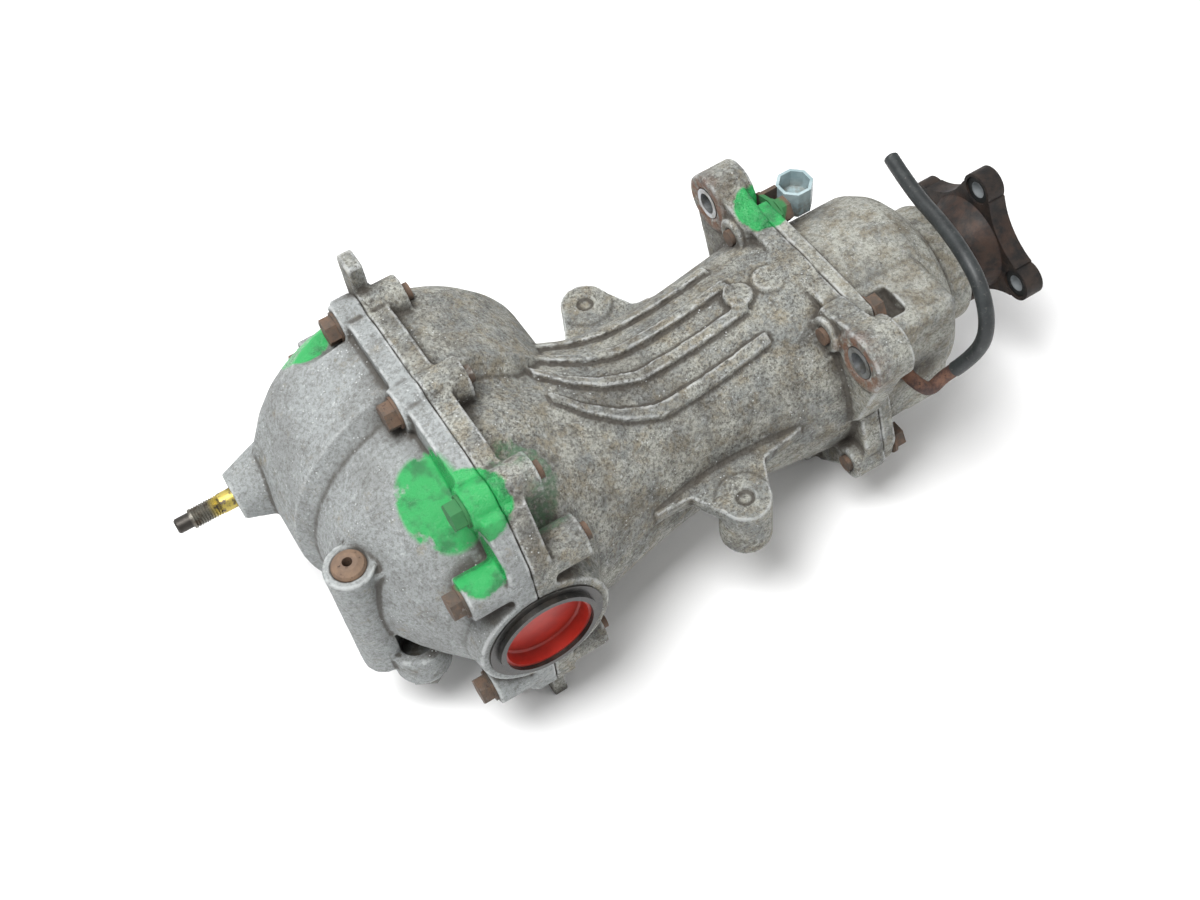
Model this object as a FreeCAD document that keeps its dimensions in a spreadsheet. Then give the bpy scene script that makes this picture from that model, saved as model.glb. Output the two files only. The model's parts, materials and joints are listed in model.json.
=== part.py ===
import FreeCAD, Part
import math
import os
import re

import Sketcher
from FreeCAD import Placement, Rotation, Vector

# Rear final drive with an electrically controlled coupling in front of it. The origin is the centre
# of the companion flange's front face, on the pinion axis. +X points forward, towards the propeller
# shaft, +Y to the vehicle's left, +Z up. Lengths are in millimetres.

SIZES = (
    # Layout
    ("axle_x", -369, "axle line, behind the companion flange face"),
    ("axle_z", 20, "axle line, above the pinion axis: the hypoid offset"),
    ("mid_y", 8, "middle plane of the final drive case"),
    ("fit_gap", 0.05, "radial clearance of a running fit"),
    ("free_gap", 0.4, "clearance between parts that must not touch"),
    # Final drive case
    ("barrel_rad", 87, "case radius over the ring gear"),
    ("barrel_near", 6, "near end of the barrel, from the middle plane"),
    ("barrel_far", 70, "far end of the barrel, from the middle plane"),
    ("waist_rad", 79, "case radius beside the barrel"),
    ("case_wall", 8, "wall of the case"),
    ("seal_face", 104, "axle seal face, from the middle plane"),
    ("seal_boss_rad", 38, "axle seal boss"),
    ("rim_top", 96, "top of the joint rim, from the axle line"),
    ("rim_flat", 50, "half width of the rim's flat top"),
    ("rim_shoulder_y", 86, "rim shoulder, from the middle plane"),
    ("rim_shoulder_z", 88, "rim shoulder height"),
    ("rim_cheek_y", 102, "rim cheek, from the middle plane"),
    ("rim_cheek_z", 60, "rim cheek height"),
    ("rim_thick", 12, "thickness of each half of the rim"),
    ("bolt_boss_rad", 12, "boss round a case bolt"),
    ("bolt_boss_front", 24, "length of the carrier's bolt boss"),
    ("bolt_boss_rear", 15, "length of the cover's bolt boss"),
    ("long_boss_rear", 34, "length of the cover's long bolt boss"),
    ("long_boss_front", 34, "length of the carrier's long bolt boss"),
    ("top_bolt_y", 70, "outer top bolt, from the middle plane"),
    ("top_bolt_z", 85, "outer top bolt height"),
    ("mid_bolt_z", 87, "middle top bolt height"),
    ("long_bolt_y", 91, "long bolt, from the middle plane"),
    ("long_bolt_z", 47, "long bolt height"),
    ("case_bolt_rad", 5, "case bolt shank, M10"),
    ("case_bolt_tip", 4, "case bolt thread standing out of its boss"),
    ("hex_half", 7, "half the width across flats of an M10 head"),
    ("hex_high", 6.5, "height of an M10 head above its collar"),
    ("hex_collar_rad", 9, "collar of a flanged M10 head"),
    ("hex_collar", 1.5, "thickness of that collar"),
    ("head_room", 1.5, "space round a bolt head in the casting"),
    ("pry_tab_y", 82, "pry tab, from the middle plane"),
    ("pry_tab_end", 114, "height of the pry tab's end"),
    ("pry_tab_wide", 15, "width of a pry tab"),
    # Rear cover
    ("stud_y", 74, "mount stud, from the pinion axis"),
    ("stud_z", 3, "mount stud, above the axle line"),
    ("stud_face", -104, "seat of the mount stud, from the axle line"),
    ("stud_boss_rad", 14, "mount stud boss at its face"),
    ("stud_boss_base", 27, "mount stud boss at the cover"),
    ("stud_boss_root", -66, "where the stud boss enters the cover"),
    ("stud_rad", 6, "mount stud shank"),
    ("stud_out", 35, "mount stud length outside its boss"),
    ("stud_in", 22, "mount stud length inside its boss"),
    ("stud_root_rad", 5.4, "mount stud inside its boss"),
    ("stud_sink", 2, "countersink round the mount stud"),
    ("stud_tip_rad", 4.5, "mount stud's dog point"),
    ("stud_tip_long", 9, "length of the dog point"),
    ("insert_x", -72, "rear boss column, from the axle line"),
    ("insert_y", -29, "rear boss column, from the pinion axis"),
    ("insert_top", 42, "top of the rear boss column, above the axle line"),
    ("insert_base", -52, "foot of the rear boss column"),
    ("column_rad", 14, "rear boss column"),
    ("insert_rad", 9.4, "steel insert in the column"),
    ("insert_hole", 2.8, "hole in the steel insert"),
    ("insert_deep", 14, "depth of that insert in the column"),
    ("insert_proud", 3.5, "height of that insert above the column"),
    ("plug_rad", 10, "thread of the filler and drain plugs"),
    ("plug_long", 12, "length of that thread"),
    ("plug_collar_rad", 14, "collar of the plugs"),
    ("plug_collar", 2.5, "thickness of that collar"),
    ("plug_half", 11, "half the width across flats of a plug"),
    ("plug_high", 8, "height of a plug's hexagon"),
    ("plug_boss_rad", 16.5, "boss round a plug"),
    ("drain_x", -56, "drain plug, from the axle line"),
    ("drain_y", -39, "drain plug, from the pinion axis"),
    ("drain_face", -63, "seat of the drain plug, above the axle line"),
    ("filler_x", 52, "filler plug, from the axle line"),
    ("filler_z", -22, "filler plug, above the axle line"),
    ("filler_face", 94, "seat of the filler plug, from the middle plane"),
    ("plug_boss_long", 24, "length of a plug's boss"),
    # Neck of the carrier
    ("neck_root_x", 34, "start of the neck, from the axle line"),
    ("neck_root_rad", 80, "neck radius at its start"),
    ("neck_a_x", 96, "end of the neck's flare"),
    ("neck_a_rad", 64, "neck radius at the end of its flare"),
    ("neck_b_x", 150, "neck waist"),
    ("neck_b_rad", 60.5, "neck radius at its waist"),
    ("neck_c_x", 190, "neck shoulder"),
    ("neck_c_rad", 65, "neck radius at its shoulder"),
    ("joint_x", 232, "joint of carrier and coupling housing"),
    ("joint_rad", 68, "carrier radius at that joint"),
    ("rib_high", 3.2, "ribs on the neck, above its surface"),
    ("rib_wide", 6.5, "width of a rib on the neck"),
    ("rib_pitch", 21, "spacing of the ribs"),
    ("rib_start", 62, "rear end of the ribs"),
    ("rib_end", 186, "front end of the ribs"),
    ("core_rad", 8.5, "raised round bosses on the neck"),
    ("core_high", 3, "height of the round bosses"),
    ("core_a_x", 186, "first round boss"),
    ("core_b_x", 206, "second round boss"),
    # Mounts on the carrier
    ("lug_y", 73, "front mount lug, from the pinion axis"),
    ("lug_z", 40, "front mount lug, above the axle line"),
    ("lug_face", 214.3, "rear face of the lug, from the axle line"),
    ("lug_deep", 24, "length of the lug"),
    ("lug_rad", 18, "lug radius"),
    ("lug_web", 16, "thickness of the web under a lug"),
    ("sleeve_rad", 9.5, "steel sleeve in a lug"),
    ("sleeve_hole", 6.5, "bolt hole in the sleeve"),
    ("ear_x", 132, "side ear, from the axle line"),
    ("ear_y", 84.6, "side ear, from the pinion axis"),
    ("ear_top", -4.5, "top of a side ear, above the axle line"),
    ("ear_rad", 15, "side ear radius"),
    ("ear_high", 36, "side ear height"),
    ("ear_web", 9, "thickness of the web to a side ear"),
    ("dimple_rad", 6, "cast dimple on top of an ear"),
    ("dimple_deep", 1.6, "depth of that dimple"),
    # Coupling housing
    ("hood_rad", 62, "coupling housing radius"),
    ("hood_front", 290, "front of the housing's cylinder"),
    ("hood_face", 306, "front face of the coupling housing"),
    ("hood_face_rad", 50, "radius of that face"),
    ("snout_rad", 38, "snout round the input bearing"),
    ("snout_end", 330, "end of the snout"),
    ("shelf_y", 67, "near side face of the housing, from the pinion axis"),
    ("shelf_z", 56, "near top corner of the housing, above the pinion axis"),
    ("shelf_low", -30, "foot of the near side face"),
    ("joint_flange", 9, "thickness of the housing's joint flange"),
    ("joint_bolt_y", 45, "upper joint bolt, from the pinion axis"),
    ("joint_bolt_z", 57, "upper joint bolt height"),
    ("side_bolt_y", 73, "side joint bolt, from the pinion axis"),
    ("side_bolt_z", -33, "side joint bolt height"),
    ("low_bolt_y", 26, "lower joint bolt, from the pinion axis"),
    ("low_bolt_z", -71, "lower joint bolt height"),
    ("joint_boss", 20, "length of the carrier's joint bolt boss"),
    ("joint_bolt_tip", 2, "joint bolt thread standing out of its boss"),
    # Axle seals and transport plugs
    ("seal_rad", 32, "axle seal"),
    ("seal_deep", 11, "depth of the axle seal's seat"),
    ("seal_proud", 4, "axle seal lip outside the case"),
    ("seal_lip_rad", 29, "outside of that lip"),
    ("seal_bore", 26, "bore of the axle seal"),
    ("cup_wall", 1.6, "wall of a transport plug"),
    ("cup_deep", 9, "depth of a transport plug"),
    # Side bearings and differential
    ("journal_rad", 22.5, "case journal, bore of a side bearing"),
    ("side_cup_rad", 37.5, "outer race of a side bearing"),
    ("side_bearing_wide", 20, "width of a side bearing"),
    ("side_bearing_y", 58, "inner face of a side bearing, from the middle plane"),
    ("shim_thick", 2, "side bearing shim"),
    ("drum_rad", 44, "differential case"),
    ("gearset_y", 2, "middle of the differential gears"),
    ("ring_seat_y", 50, "seat of the ring gear"),
    ("ring_flange_rad", 67, "flange of the differential case"),
    ("ring_flange_thick", 9, "thickness of that flange"),
    ("ring_bolt_circle", 57, "radius of the ring gear bolts' circle"),
    ("ring_bolt_count", 10, "ring gear bolts"),
    ("ring_bolt_in", 11, "depth of a ring gear bolt in the gear"),
    ("cross_pin_rad", 8, "cross pin"),
    ("lock_pin_rad", 2.5, "lock pin through the cross pin"),
    ("side_teeth", 14, "teeth of a side gear"),
    ("spider_teeth", 10, "teeth of a spider gear"),
    ("bevel_module", 3.6, "module of the differential gears"),
    ("bevel_face", 11, "face width of the differential gears"),
    ("washer_thick", 1.2, "thrust washers"),
    ("spline_rad", 13, "axle spline in a side gear"),
    # Hypoid gears
    ("ring_teeth", 37, "teeth of the ring gear"),
    ("pinion_teeth", 15, "teeth of the drive pinion"),
    ("ring_mean_rad", 61, "ring gear radius at mid face"),
    ("pinion_mean_rad", 31.6, "pinion radius at mid face"),
    ("mesh_x", 59, "mid face of the mesh, from the axle line"),
    ("gear_face", 24, "face width of the hypoid gears"),
    ("ring_addendum", 1.4, "ring gear tooth above its pitch cone"),
    ("ring_dedendum", 5.4, "ring gear tooth below its pitch cone"),
    ("pinion_addendum", 4.2, "pinion tooth above its pitch cone"),
    ("pinion_dedendum", 2.4, "pinion tooth below its pitch cone"),
    ("tooth_share", 0.33, "tooth thickness as a share of the pitch"),
    # Pinion shaft
    ("head_room_rad", 44, "room for the pinion head in the carrier"),
    ("pinion_back", 74, "back of the pinion head, from the axle line"),
    ("tail_cup_rad", 36, "outer race of the pinion's rear bearing"),
    ("tail_shaft_rad", 17.5, "pinion shaft in its rear bearing"),
    ("tail_wide", 22, "width of the pinion's rear bearing"),
    ("height_shim", 2, "pinion height shim"),
    ("nose_x", 150, "pinion's front bearing, from the axle line"),
    ("nose_cup_rad", 31, "outer race of the pinion's front bearing"),
    ("nose_shaft_rad", 15, "pinion shaft in its front bearing"),
    ("nose_wide", 20, "width of the pinion's front bearing"),
    ("crush_wall", 3.5, "wall of the crush sleeve"),
    ("pinion_nut_half", 19, "half the width across flats of the pinion nut"),
    ("pinion_nut_high", 11, "height of the pinion nut"),
    ("stub_rad", 12, "splined end of the pinion"),
    ("stub_end", 248, "end of the pinion, from the axle line"),
    ("wall_x", 188, "wall between final drive and coupling"),
    ("wall_thick", 8, "thickness of that wall"),
    ("centre_seal_rad", 24, "centre oil seal"),
    # Coupling
    ("chamber_rad", 55.5, "coupling chamber"),
    ("chamber_front", 292, "front of the coupling chamber"),
    ("cup_rad", 51.5, "coupling drum"),
    ("cup_thick", 4, "wall of the coupling drum"),
    ("cup_rear", 203, "open end of the coupling drum"),
    ("cup_front", 266, "front of the coupling drum"),
    ("hub_rad", 23, "clutch hub"),
    ("hub_start", 199, "rear end of the clutch hub, from the axle line"),
    ("hub_neck_rad", 16, "neck of the clutch hub"),
    ("plate_count", 5, "drum plates, one more than the hub discs"),
    ("plate_thick", 2.6, "thickness of a clutch plate or disc"),
    ("plate_first", 212, "first drum plate, from the axle line"),
    ("disc_rad", 44, "outside of a hub disc"),
    ("plate_hole", 27, "hole in a drum plate"),
    ("coil_x", 270, "rear of the magnet coil"),
    ("coil_rad", 48, "outside of the magnet coil"),
    ("coil_hole", 22, "hole in the magnet coil"),
    ("coil_slot_in", 30, "inside of the winding's slot"),
    ("coil_slot_out", 40, "outside of the winding's slot"),
    ("coil_slot_deep", 3, "depth of the winding below the coil's rear face"),
    ("input_rad", 15, "input shaft"),
    ("input_collar_rad", 18, "input shaft behind its bearing"),
    ("input_spline_rad", 13, "spline of the input shaft"),
    ("input_thread_rad", 10, "thread for the flange nut"),
    ("input_thread_long", 12, "length of that thread"),
    ("input_bearing_x", 298, "input bearing, from the axle line"),
    ("input_cup_rad", 31, "outer race of the input bearing"),
    ("input_wide", 16, "width of the input bearing"),
    ("race_wall", 5, "wall of each race of the input bearing"),
    ("ball_rad", 4.6, "ball of the input bearing"),
    ("ball_count", 9, "balls in the input bearing"),
    ("front_seal_rad", 29, "front oil seal"),
    ("front_seal_wide", 9, "width of the front oil seal"),
    # Companion flange
    ("flange_thick", 12, "companion flange plate"),
    ("flange_circle", 43.5, "radius of the flange's bolt circle"),
    ("flange_hole", 5.25, "bolt hole in the companion flange"),
    ("flange_count", 4, "arms of the companion flange"),
    ("arm_rad", 11, "round end of a flange arm"),
    ("waist_cut_rad", 47, "hollow between two flange arms"),
    ("waist_cut_reach", 80, "centre of that hollow, from the flange axis"),
    ("spot_rad", 9, "spot face round a flange hole"),
    ("spot_deep", 1.2, "depth of that spot face"),
    ("flange_hub", 20, "hub of the companion flange"),
    ("flange_hub_wide", 31, "hub where it meets the plate"),
    ("recess_rad", 24, "recess for the flange nut"),
    ("recess_deep", 13, "depth of that recess"),
    ("hub_cone", 20, "length of the flare behind the flange plate"),
    ("flange_nut_half", 15, "half the width across flats of the flange nut"),
    ("flange_nut_high", 10, "height of the flange nut"),
    # Connector
    ("bracket_thick", 2.5, "connector bracket"),
    ("bracket_arm", 15, "width of the bracket's arm"),
    ("bracket_ear", 8, "bracket round its bolt"),
    ("socket_x", 265, "connector, from the axle line"),
    ("socket_y", 56, "connector, from the pinion axis"),
    ("socket_top", 61, "mouth of the connector, above the pinion axis"),
    ("socket_half", 10.5, "half the connector's width across flats"),
    ("socket_high", 18, "height of the connector's shell"),
    ("socket_wall", 1.8, "wall of the connector"),
    ("socket_deep", 12, "depth of the connector's mouth"),
    ("boot_rad", 7, "boot under the connector"),
    ("boot_high", 2, "height of that boot"),
    # Breather
    ("pipe_rad", 4, "breather pipe"),
    ("pipe_bore", 2.6, "bore of the breather pipe"),
    ("hose_rad", 4.5, "breather hose"),
    ("hose_bore", 2.8, "bore of the breather hose"),
)

doc = FreeCAD.newDocument("RearDifferential")
sheet = doc.addObject("Spreadsheet::Sheet", "Sizes")
for row, (alias, value, note) in enumerate(SIZES, start=1):
    sheet.set(f"A{row}", note)
    sheet.set(f"B{row}", str(value))
    sheet.setAlias(f"B{row}", alias)
doc.recompute()

ALIASES = {alias for alias, _, _ in SIZES}
NODES = {}


# Expressions and placing


def bound(expression):
    """Point the size names in an expression at the sheet."""
    def qualify(match):
        word = match.group(0)
        return "Sizes." + word if word in ALIASES else word
    return re.sub(r"[a-z][a-z_]*[a-z]", qualify, expression)


def size(expression):
    """The present value of an expression, for shapes made in code."""
    return float(sheet.evalExpression(bound(expression)))


def bind(obj, **expressions):
    for name, expression in expressions.items():
        obj.setExpression(name, bound(expression))
    return obj


def at_axle(x="0", y="0", z="0"):
    """A place given from the axle line, forward, left and up."""
    return (f"axle_x + ({x})", y, f"axle_z + ({z})")


def on_pinion(x="0", y="0", z="0"):
    """A place given from the axle line forward, and from the pinion axis sideways and up."""
    return (f"axle_x + ({x})", y, z)


# Turning the local Z axis, and the local X axis, to a named direction
Z_TO = {
    "X": Rotation(Vector(0, 1, 0), 90),
    "-X": Rotation(Vector(0, 1, 0), -90),
    "Y": Rotation(Vector(1, 0, 0), -90),
    "-Y": Rotation(Vector(1, 0, 0), 90),
    "Z": Rotation(),
    "-Z": Rotation(Vector(1, 0, 0), 180),
}
X_TO = {
    "X": Rotation(),
    "-X": Rotation(Vector(0, 0, 1), 180),
    "Y": Rotation(Vector(0, 0, 1), 90),
    "-Y": Rotation(Vector(0, 0, 1), -90),
    "Z": Rotation(Vector(0, 1, 0), -90),
    "-Z": Rotation(Vector(0, 1, 0), 90),
}
PLANE_TO = {
    "XY": Rotation(),
    "XZ": Rotation(Vector(1, 0, 0), 90),
    "YZ": Rotation(Vector(1, 1, 1), 120),
}


def place(obj, rotation, where):
    obj.Placement = Placement(Vector(), rotation)
    for axis, expression in zip("xyz", where):
        obj.setExpression("Placement.Base." + axis, bound(expression))
    return obj


# Simple solids


def cylinder(name, radius, height, axis, where):
    obj = doc.addObject("Part::Cylinder", name)
    return place(bind(obj, Radius=radius, Height=height), Z_TO[axis], where)


def cone(name, radius_a, radius_b, height, axis, where):
    obj = doc.addObject("Part::Cone", name)
    return place(bind(obj, Radius1=radius_a, Radius2=radius_b, Height=height), Z_TO[axis], where)


def box(name, length, width, height, where):
    """A box given by its sizes along X, Y and Z and its lowest corner."""
    obj = doc.addObject("Part::Box", name)
    return place(bind(obj, Length=length, Width=width, Height=height), Rotation(), where)


def prism(name, sides, half_flats, height, axis, where):
    """A regular prism given by half its width across flats."""
    face = doc.addObject("Part::RegularPolygon", name + "_face")
    face.Polygon = sides
    bind(face, Circumradius=f"({half_flats}) / cos({180 / sides} deg)")
    solid = doc.addObject("Part::Extrusion", name)
    solid.Base = face
    solid.DirMode = "Custom"
    solid.Dir = Vector(0, 0, 1)
    solid.Solid = True
    bind(solid, LengthFwd=height)
    return place(solid, Z_TO[axis] * Rotation(Vector(0, 0, 1), 180 / sides), where)


def rounded(obj, name, radius, pick):
    """Round the edges that pick chooses."""
    doc.recompute()
    fillet = doc.addObject("Part::Fillet", name)
    fillet.Base = obj
    value = size(radius)
    fillet.Edges = [(i, value, value) for i, edge in enumerate(obj.Shape.Edges, start=1) if pick(edge)]
    return fillet


# Sketched solids


def outline(body, name, points):
    """A closed outline in the body's XY plane, each corner bound to the sheet."""
    plane = next(item for item in body.Origin.OriginFeatures if item.Role == "XY_Plane")
    sketch = body.newObject("Sketcher::SketchObject", name)
    sketch.AttachmentSupport = [(plane, "")]
    sketch.MapMode = "FlatFace"
    corners = [Vector(size(across), size(up), 0) for across, up in points]
    count = len(corners)
    lines = [Part.LineSegment(corners[i], corners[(i + 1) % count]) for i in range(count)]
    sketch.addGeometry(lines, False)
    sketch.addConstraint([Sketcher.Constraint("Coincident", i, 2, (i + 1) % count, 1) for i in range(count)])
    for i, (across, up) in enumerate(points):
        if across == "0":
            sketch.addConstraint(Sketcher.Constraint("PointOnObject", i, 1, -2))
        else:
            c = sketch.addConstraint(Sketcher.Constraint("DistanceX", -1, 1, i, 1, corners[i].x))
            sketch.setExpression(f"Constraints[{c}]", bound(across))
        if up == "0":
            sketch.addConstraint(Sketcher.Constraint("PointOnObject", i, 1, -1))
        else:
            c = sketch.addConstraint(Sketcher.Constraint("DistanceY", -1, 1, i, 1, corners[i].y))
            sketch.setExpression(f"Constraints[{c}]", bound(up))
    return sketch


def turned(name, points, axis, where):
    """A turned piece: its profile runs along its axis and out from it."""
    body = doc.addObject("PartDesign::Body", name)
    profile = outline(body, name + "_profile", points)
    revolution = body.newObject("PartDesign::Revolution", name + "_turn")
    revolution.Profile = profile
    revolution.ReferenceAxis = (profile, ["H_Axis"])
    revolution.Angle = 360
    return place(body, X_TO[axis], where)


def ring(name, inner, outer, width, axis, where):
    points = [("0", inner), (width, inner), (width, outer), ("0", outer)]
    return turned(name, points, axis, where)


def plate(name, points, thickness, plane, where):
    """A plate of the given outline, thickened along its plane's normal."""
    body = doc.addObject("PartDesign::Body", name)
    profile = outline(body, name + "_outline", points)
    pad = body.newObject("PartDesign::Pad", name + "_pad")
    pad.Profile = profile
    pad.setExpression("Length", bound(thickness))
    return place(body, PLANE_TO[plane], where)


# Combining


def fuse(name, shapes):
    obj = doc.addObject("Part::MultiFuse", name)
    obj.Shapes = shapes
    return obj


def cut(name, base, tools):
    obj = doc.addObject("Part::Cut", name)
    obj.Base = base
    obj.Tool = tools[0] if len(tools) == 1 else fuse(name + "_tools", tools)
    return obj


def common(name, shapes):
    obj = doc.addObject("Part::MultiCommon", name)
    obj.Shapes = shapes
    return obj


def group(name, shapes):
    """Separate solids that share one node, such as a set of bolts."""
    obj = doc.addObject("Part::Compound", name)
    obj.Links = shapes
    return obj


def shaped(name, shape):
    """A piece whose form is worked out in code."""
    obj = doc.addObject("Part::Feature", name)
    obj.Shape = shape
    return obj


def node(label, obj):
    obj.Label = label
    NODES[label] = obj
    return obj


# Bolt places, shared by the castings and the bolts

SHORT_BOLTS = [
    (f"mid_y + {side} * top_bolt_y", f"{end} * {height}")
    for side, height in ((-1, "top_bolt_z"), (0, "mid_bolt_z"), (1, "top_bolt_z"))
    for end in (1, -1)
]
LONG_BOLTS = [
    (f"mid_y + {side} * long_bolt_y", f"{end} * long_bolt_z") for side in (-1, 1) for end in (1, -1)
]
JOINT_BOLTS = [
    (f"{side} * {across}", height)
    for side in (-1, 1)
    for across, height in (
        ("joint_bolt_y", "joint_bolt_z"),
        ("side_bolt_y", "side_bolt_z"),
        ("low_bolt_y", "low_bolt_z"),
    )
]
BRACKET_BOLT = ("1 * joint_bolt_y", "joint_bolt_z")
SIDES = (("left", 1), ("right", -1))
FINE = 1e-5

# Routes of the breather, from the axle line forward and up and from the pinion axis sideways
PIPE_ROUTE = [
    (255.4, -58, -6),
    (255.4, -76, -6),
    (264, -79, -16),
    (274.0, -77.5, -12.9),
    (278.5, -81.3, -4.8),
]
HOSE_ROUTE = [
    (278.5, -81.3, -4.8),
    (286.8, -88.3, 10.3),
    (289.4, -90.4, 33.9),
    (292.1, -77.3, 54.0),
    (295.2, -56.0, 61.5),
    (303.0, -28.0, 56.2),
    (310.5, 3.5, 48.0),
    (316.0, 31.0, 50.0),
]


# Final drive case, split at the axle line


def case_profile():
    """The case turned about the axle line: seal boss, waist, barrel over the ring gear, seal boss."""
    return [
        ("-seal_face", "0"),
        ("-seal_face", "seal_boss_rad"),
        ("-seal_face + 14", "seal_boss_rad + 2"),
        ("-seal_face + 32", "seal_boss_rad + 16"),
        ("-seal_face + 54", "waist_rad - 10"),
        ("-seal_face + 78", "waist_rad"),
        ("barrel_near", "waist_rad"),
        ("barrel_near + 9", "barrel_rad"),
        ("barrel_far", "barrel_rad"),
        ("barrel_far + 12", "barrel_rad - 7"),
        ("barrel_far + 19", "barrel_rad - 24"),
        ("barrel_far + 22", "seal_boss_rad + 5"),
        ("seal_face", "seal_boss_rad"),
        ("seal_face", "0"),
    ]


def case_cavity_profile():
    """The space inside the case: seal seats, bearing bores and the room for the gears."""
    outside = "seal_face + 1"
    seat = "seal_face - seal_deep"
    bore_end = "side_bearing_y + side_bearing_wide + shim_thick"
    return [
        (f"-({outside})", "0"),
        (f"-({outside})", "seal_rad"),
        (f"-({seat})", "seal_rad"),
        (f"-({seat})", "seal_bore + 1"),
        (f"-({bore_end})", "seal_bore + 1"),
        (f"-({bore_end})", "side_cup_rad"),
        ("-side_bearing_y", "side_cup_rad"),
        ("-side_bearing_y", "side_cup_rad + case_wall"),
        ("-side_bearing_y + 10", "waist_rad - case_wall - 12"),
        ("-side_bearing_y + 32", "waist_rad - case_wall"),
        ("barrel_near", "waist_rad - case_wall"),
        ("barrel_near + 9", "barrel_rad - case_wall"),
        ("barrel_far - 16", "barrel_rad - case_wall"),
        ("barrel_far - 4", "barrel_rad - case_wall - 14"),
        ("barrel_far + 2", "side_cup_rad + case_wall + 3"),
        ("side_bearing_y", "side_cup_rad + case_wall"),
        ("side_bearing_y", "side_cup_rad"),
        (bore_end, "side_cup_rad"),
        (bore_end, "seal_bore + 1"),
        (seat, "seal_bore + 1"),
        (seat, "seal_rad"),
        (outside, "seal_rad"),
        (outside, "0"),
    ]


def rim(name, start):
    """One half of the bolted joint rim, starting at the given place along X."""
    quarter = [
        ("rim_flat", "rim_top"),
        ("rim_shoulder_y", "rim_shoulder_z"),
        ("rim_cheek_y", "rim_cheek_z"),
        ("seal_face", "seal_boss_rad - 5"),
    ]
    points = [(y, z) for y, z in quarter]
    points += [(y, f"-({z})") for y, z in reversed(quarter)]
    points += [(f"-({y})", f"-({z})") for y, z in quarter]
    points += [(f"-({y})", z) for y, z in reversed(quarter)]
    return plate(name, points, "rim_thick", "YZ", at_axle(start, "mid_y"))


def row_of(name, places, radius, height, start, axis="X"):
    """Equal cylinders along X, one at each place."""
    return [
        cylinder(f"{name}_{i}", radius, height, axis, at_axle(start, y, z))
        for i, (y, z) in enumerate(places, start=1)
    ]


def half_space(name, start):
    reach = "2 * barrel_rad"
    corner = at_axle(start, "mid_y - 2 * seal_face", f"-{reach}")
    return box(name, reach, "4 * seal_face", f"2 * {reach}", corner)


def rear_cover():
    dome = common("cover_dome", [
        turned("cover_case", case_profile(), "Y", at_axle(y="mid_y")),
        half_space("cover_side", "-2 * barrel_rad"),
    ])
    bosses = row_of("cover_short_boss", SHORT_BOLTS, "bolt_boss_rad", "bolt_boss_rear", "-bolt_boss_rear")
    bosses += row_of("cover_long_boss", LONG_BOLTS, "bolt_boss_rad", "long_boss_rear", "-long_boss_rear")
    stud_boss = cone(
        "stud_boss", "stud_boss_rad", "stud_boss_base", "stud_boss_root - stud_face", "X",
        at_axle("stud_face", "stud_y", "stud_z"),
    )
    column = cylinder(
        "rear_column", "column_rad", "insert_top - insert_base", "Z",
        at_axle("insert_x", "insert_y", "insert_base"),
    )
    column_web = box(
        "column_web", "-insert_x", "2 * column_rad - 4", "insert_top - insert_base - 8",
        at_axle("insert_x", "insert_y - column_rad + 2", "insert_base + 4"),
    )
    drain_boss = cylinder(
        "drain_boss", "plug_boss_rad", "plug_boss_long", "Z", at_axle("drain_x", "drain_y", "drain_face")
    )
    outside = fuse("cover_outside", [
        dome, rim("cover_rim", "-rim_thick"), stud_boss, column, column_web, drain_boss,
    ] + bosses)
    cavity = turned("cover_cavity", case_cavity_profile(), "Y", at_axle(y="mid_y"))
    holes = row_of("cover_short_hole", SHORT_BOLTS, "case_bolt_rad + free_gap", "bolt_boss_rear + 2",
                   "-bolt_boss_rear - 1")
    holes += row_of("cover_long_hole", LONG_BOLTS, "case_bolt_rad + free_gap", "long_boss_rear + 2",
                    "-long_boss_rear - 1")
    holes += [
        cylinder("stud_hole", "stud_root_rad", "stud_in", "X", at_axle("stud_face", "stud_y", "stud_z")),
        cone("stud_mouth", "stud_root_rad + stud_sink", "stud_root_rad", "stud_sink", "X",
             at_axle("stud_face", "stud_y", "stud_z")),
        cylinder("insert_way", "insert_rad", "insert_deep", "-Z",
                 at_axle("insert_x", "insert_y", "insert_top")),
        cylinder("drain_way", "plug_rad", "2 * plug_boss_long", "Z",
                 at_axle("drain_x", "drain_y", "drain_face - 1")),
    ]
    holes += row_of("cover_short_seat", SHORT_BOLTS, "hex_collar_rad + head_room", "2 * bolt_boss_rear",
                    "-bolt_boss_rear", "-X")
    holes += row_of("cover_long_seat", LONG_BOLTS, "hex_collar_rad + head_room", "long_boss_rear",
                    "-long_boss_rear", "-X")
    node("rear_cover", cut("cover", outside, [cavity, half_space("cover_front", "0")] + holes))


# Carrier: front half of the case, neck, mounts and the joint to the coupling housing


def neck(name, extra):
    """The neck as a loft through round stations on the pinion axis, thickened by extra."""
    stations = (
        ("neck_root_x", "neck_root_rad", "axle_z / 2"),
        ("neck_a_x", "neck_a_rad", "0"),
        ("neck_b_x", "neck_b_rad", "0"),
        ("neck_c_x", "neck_c_rad", "0"),
        ("joint_x", "joint_rad", "0"),
    )
    circles = []
    for i, (x, radius, z) in enumerate(stations, start=1):
        circle = doc.addObject("Part::Circle", f"{name}_station_{i}")
        bind(circle, Radius=f"{radius} + {extra}")
        circles.append(place(circle, Z_TO["X"], on_pinion(x, "0", z)))
    loft = doc.addObject("Part::Loft", name)
    loft.Sections = circles
    loft.Solid = True
    return loft


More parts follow.
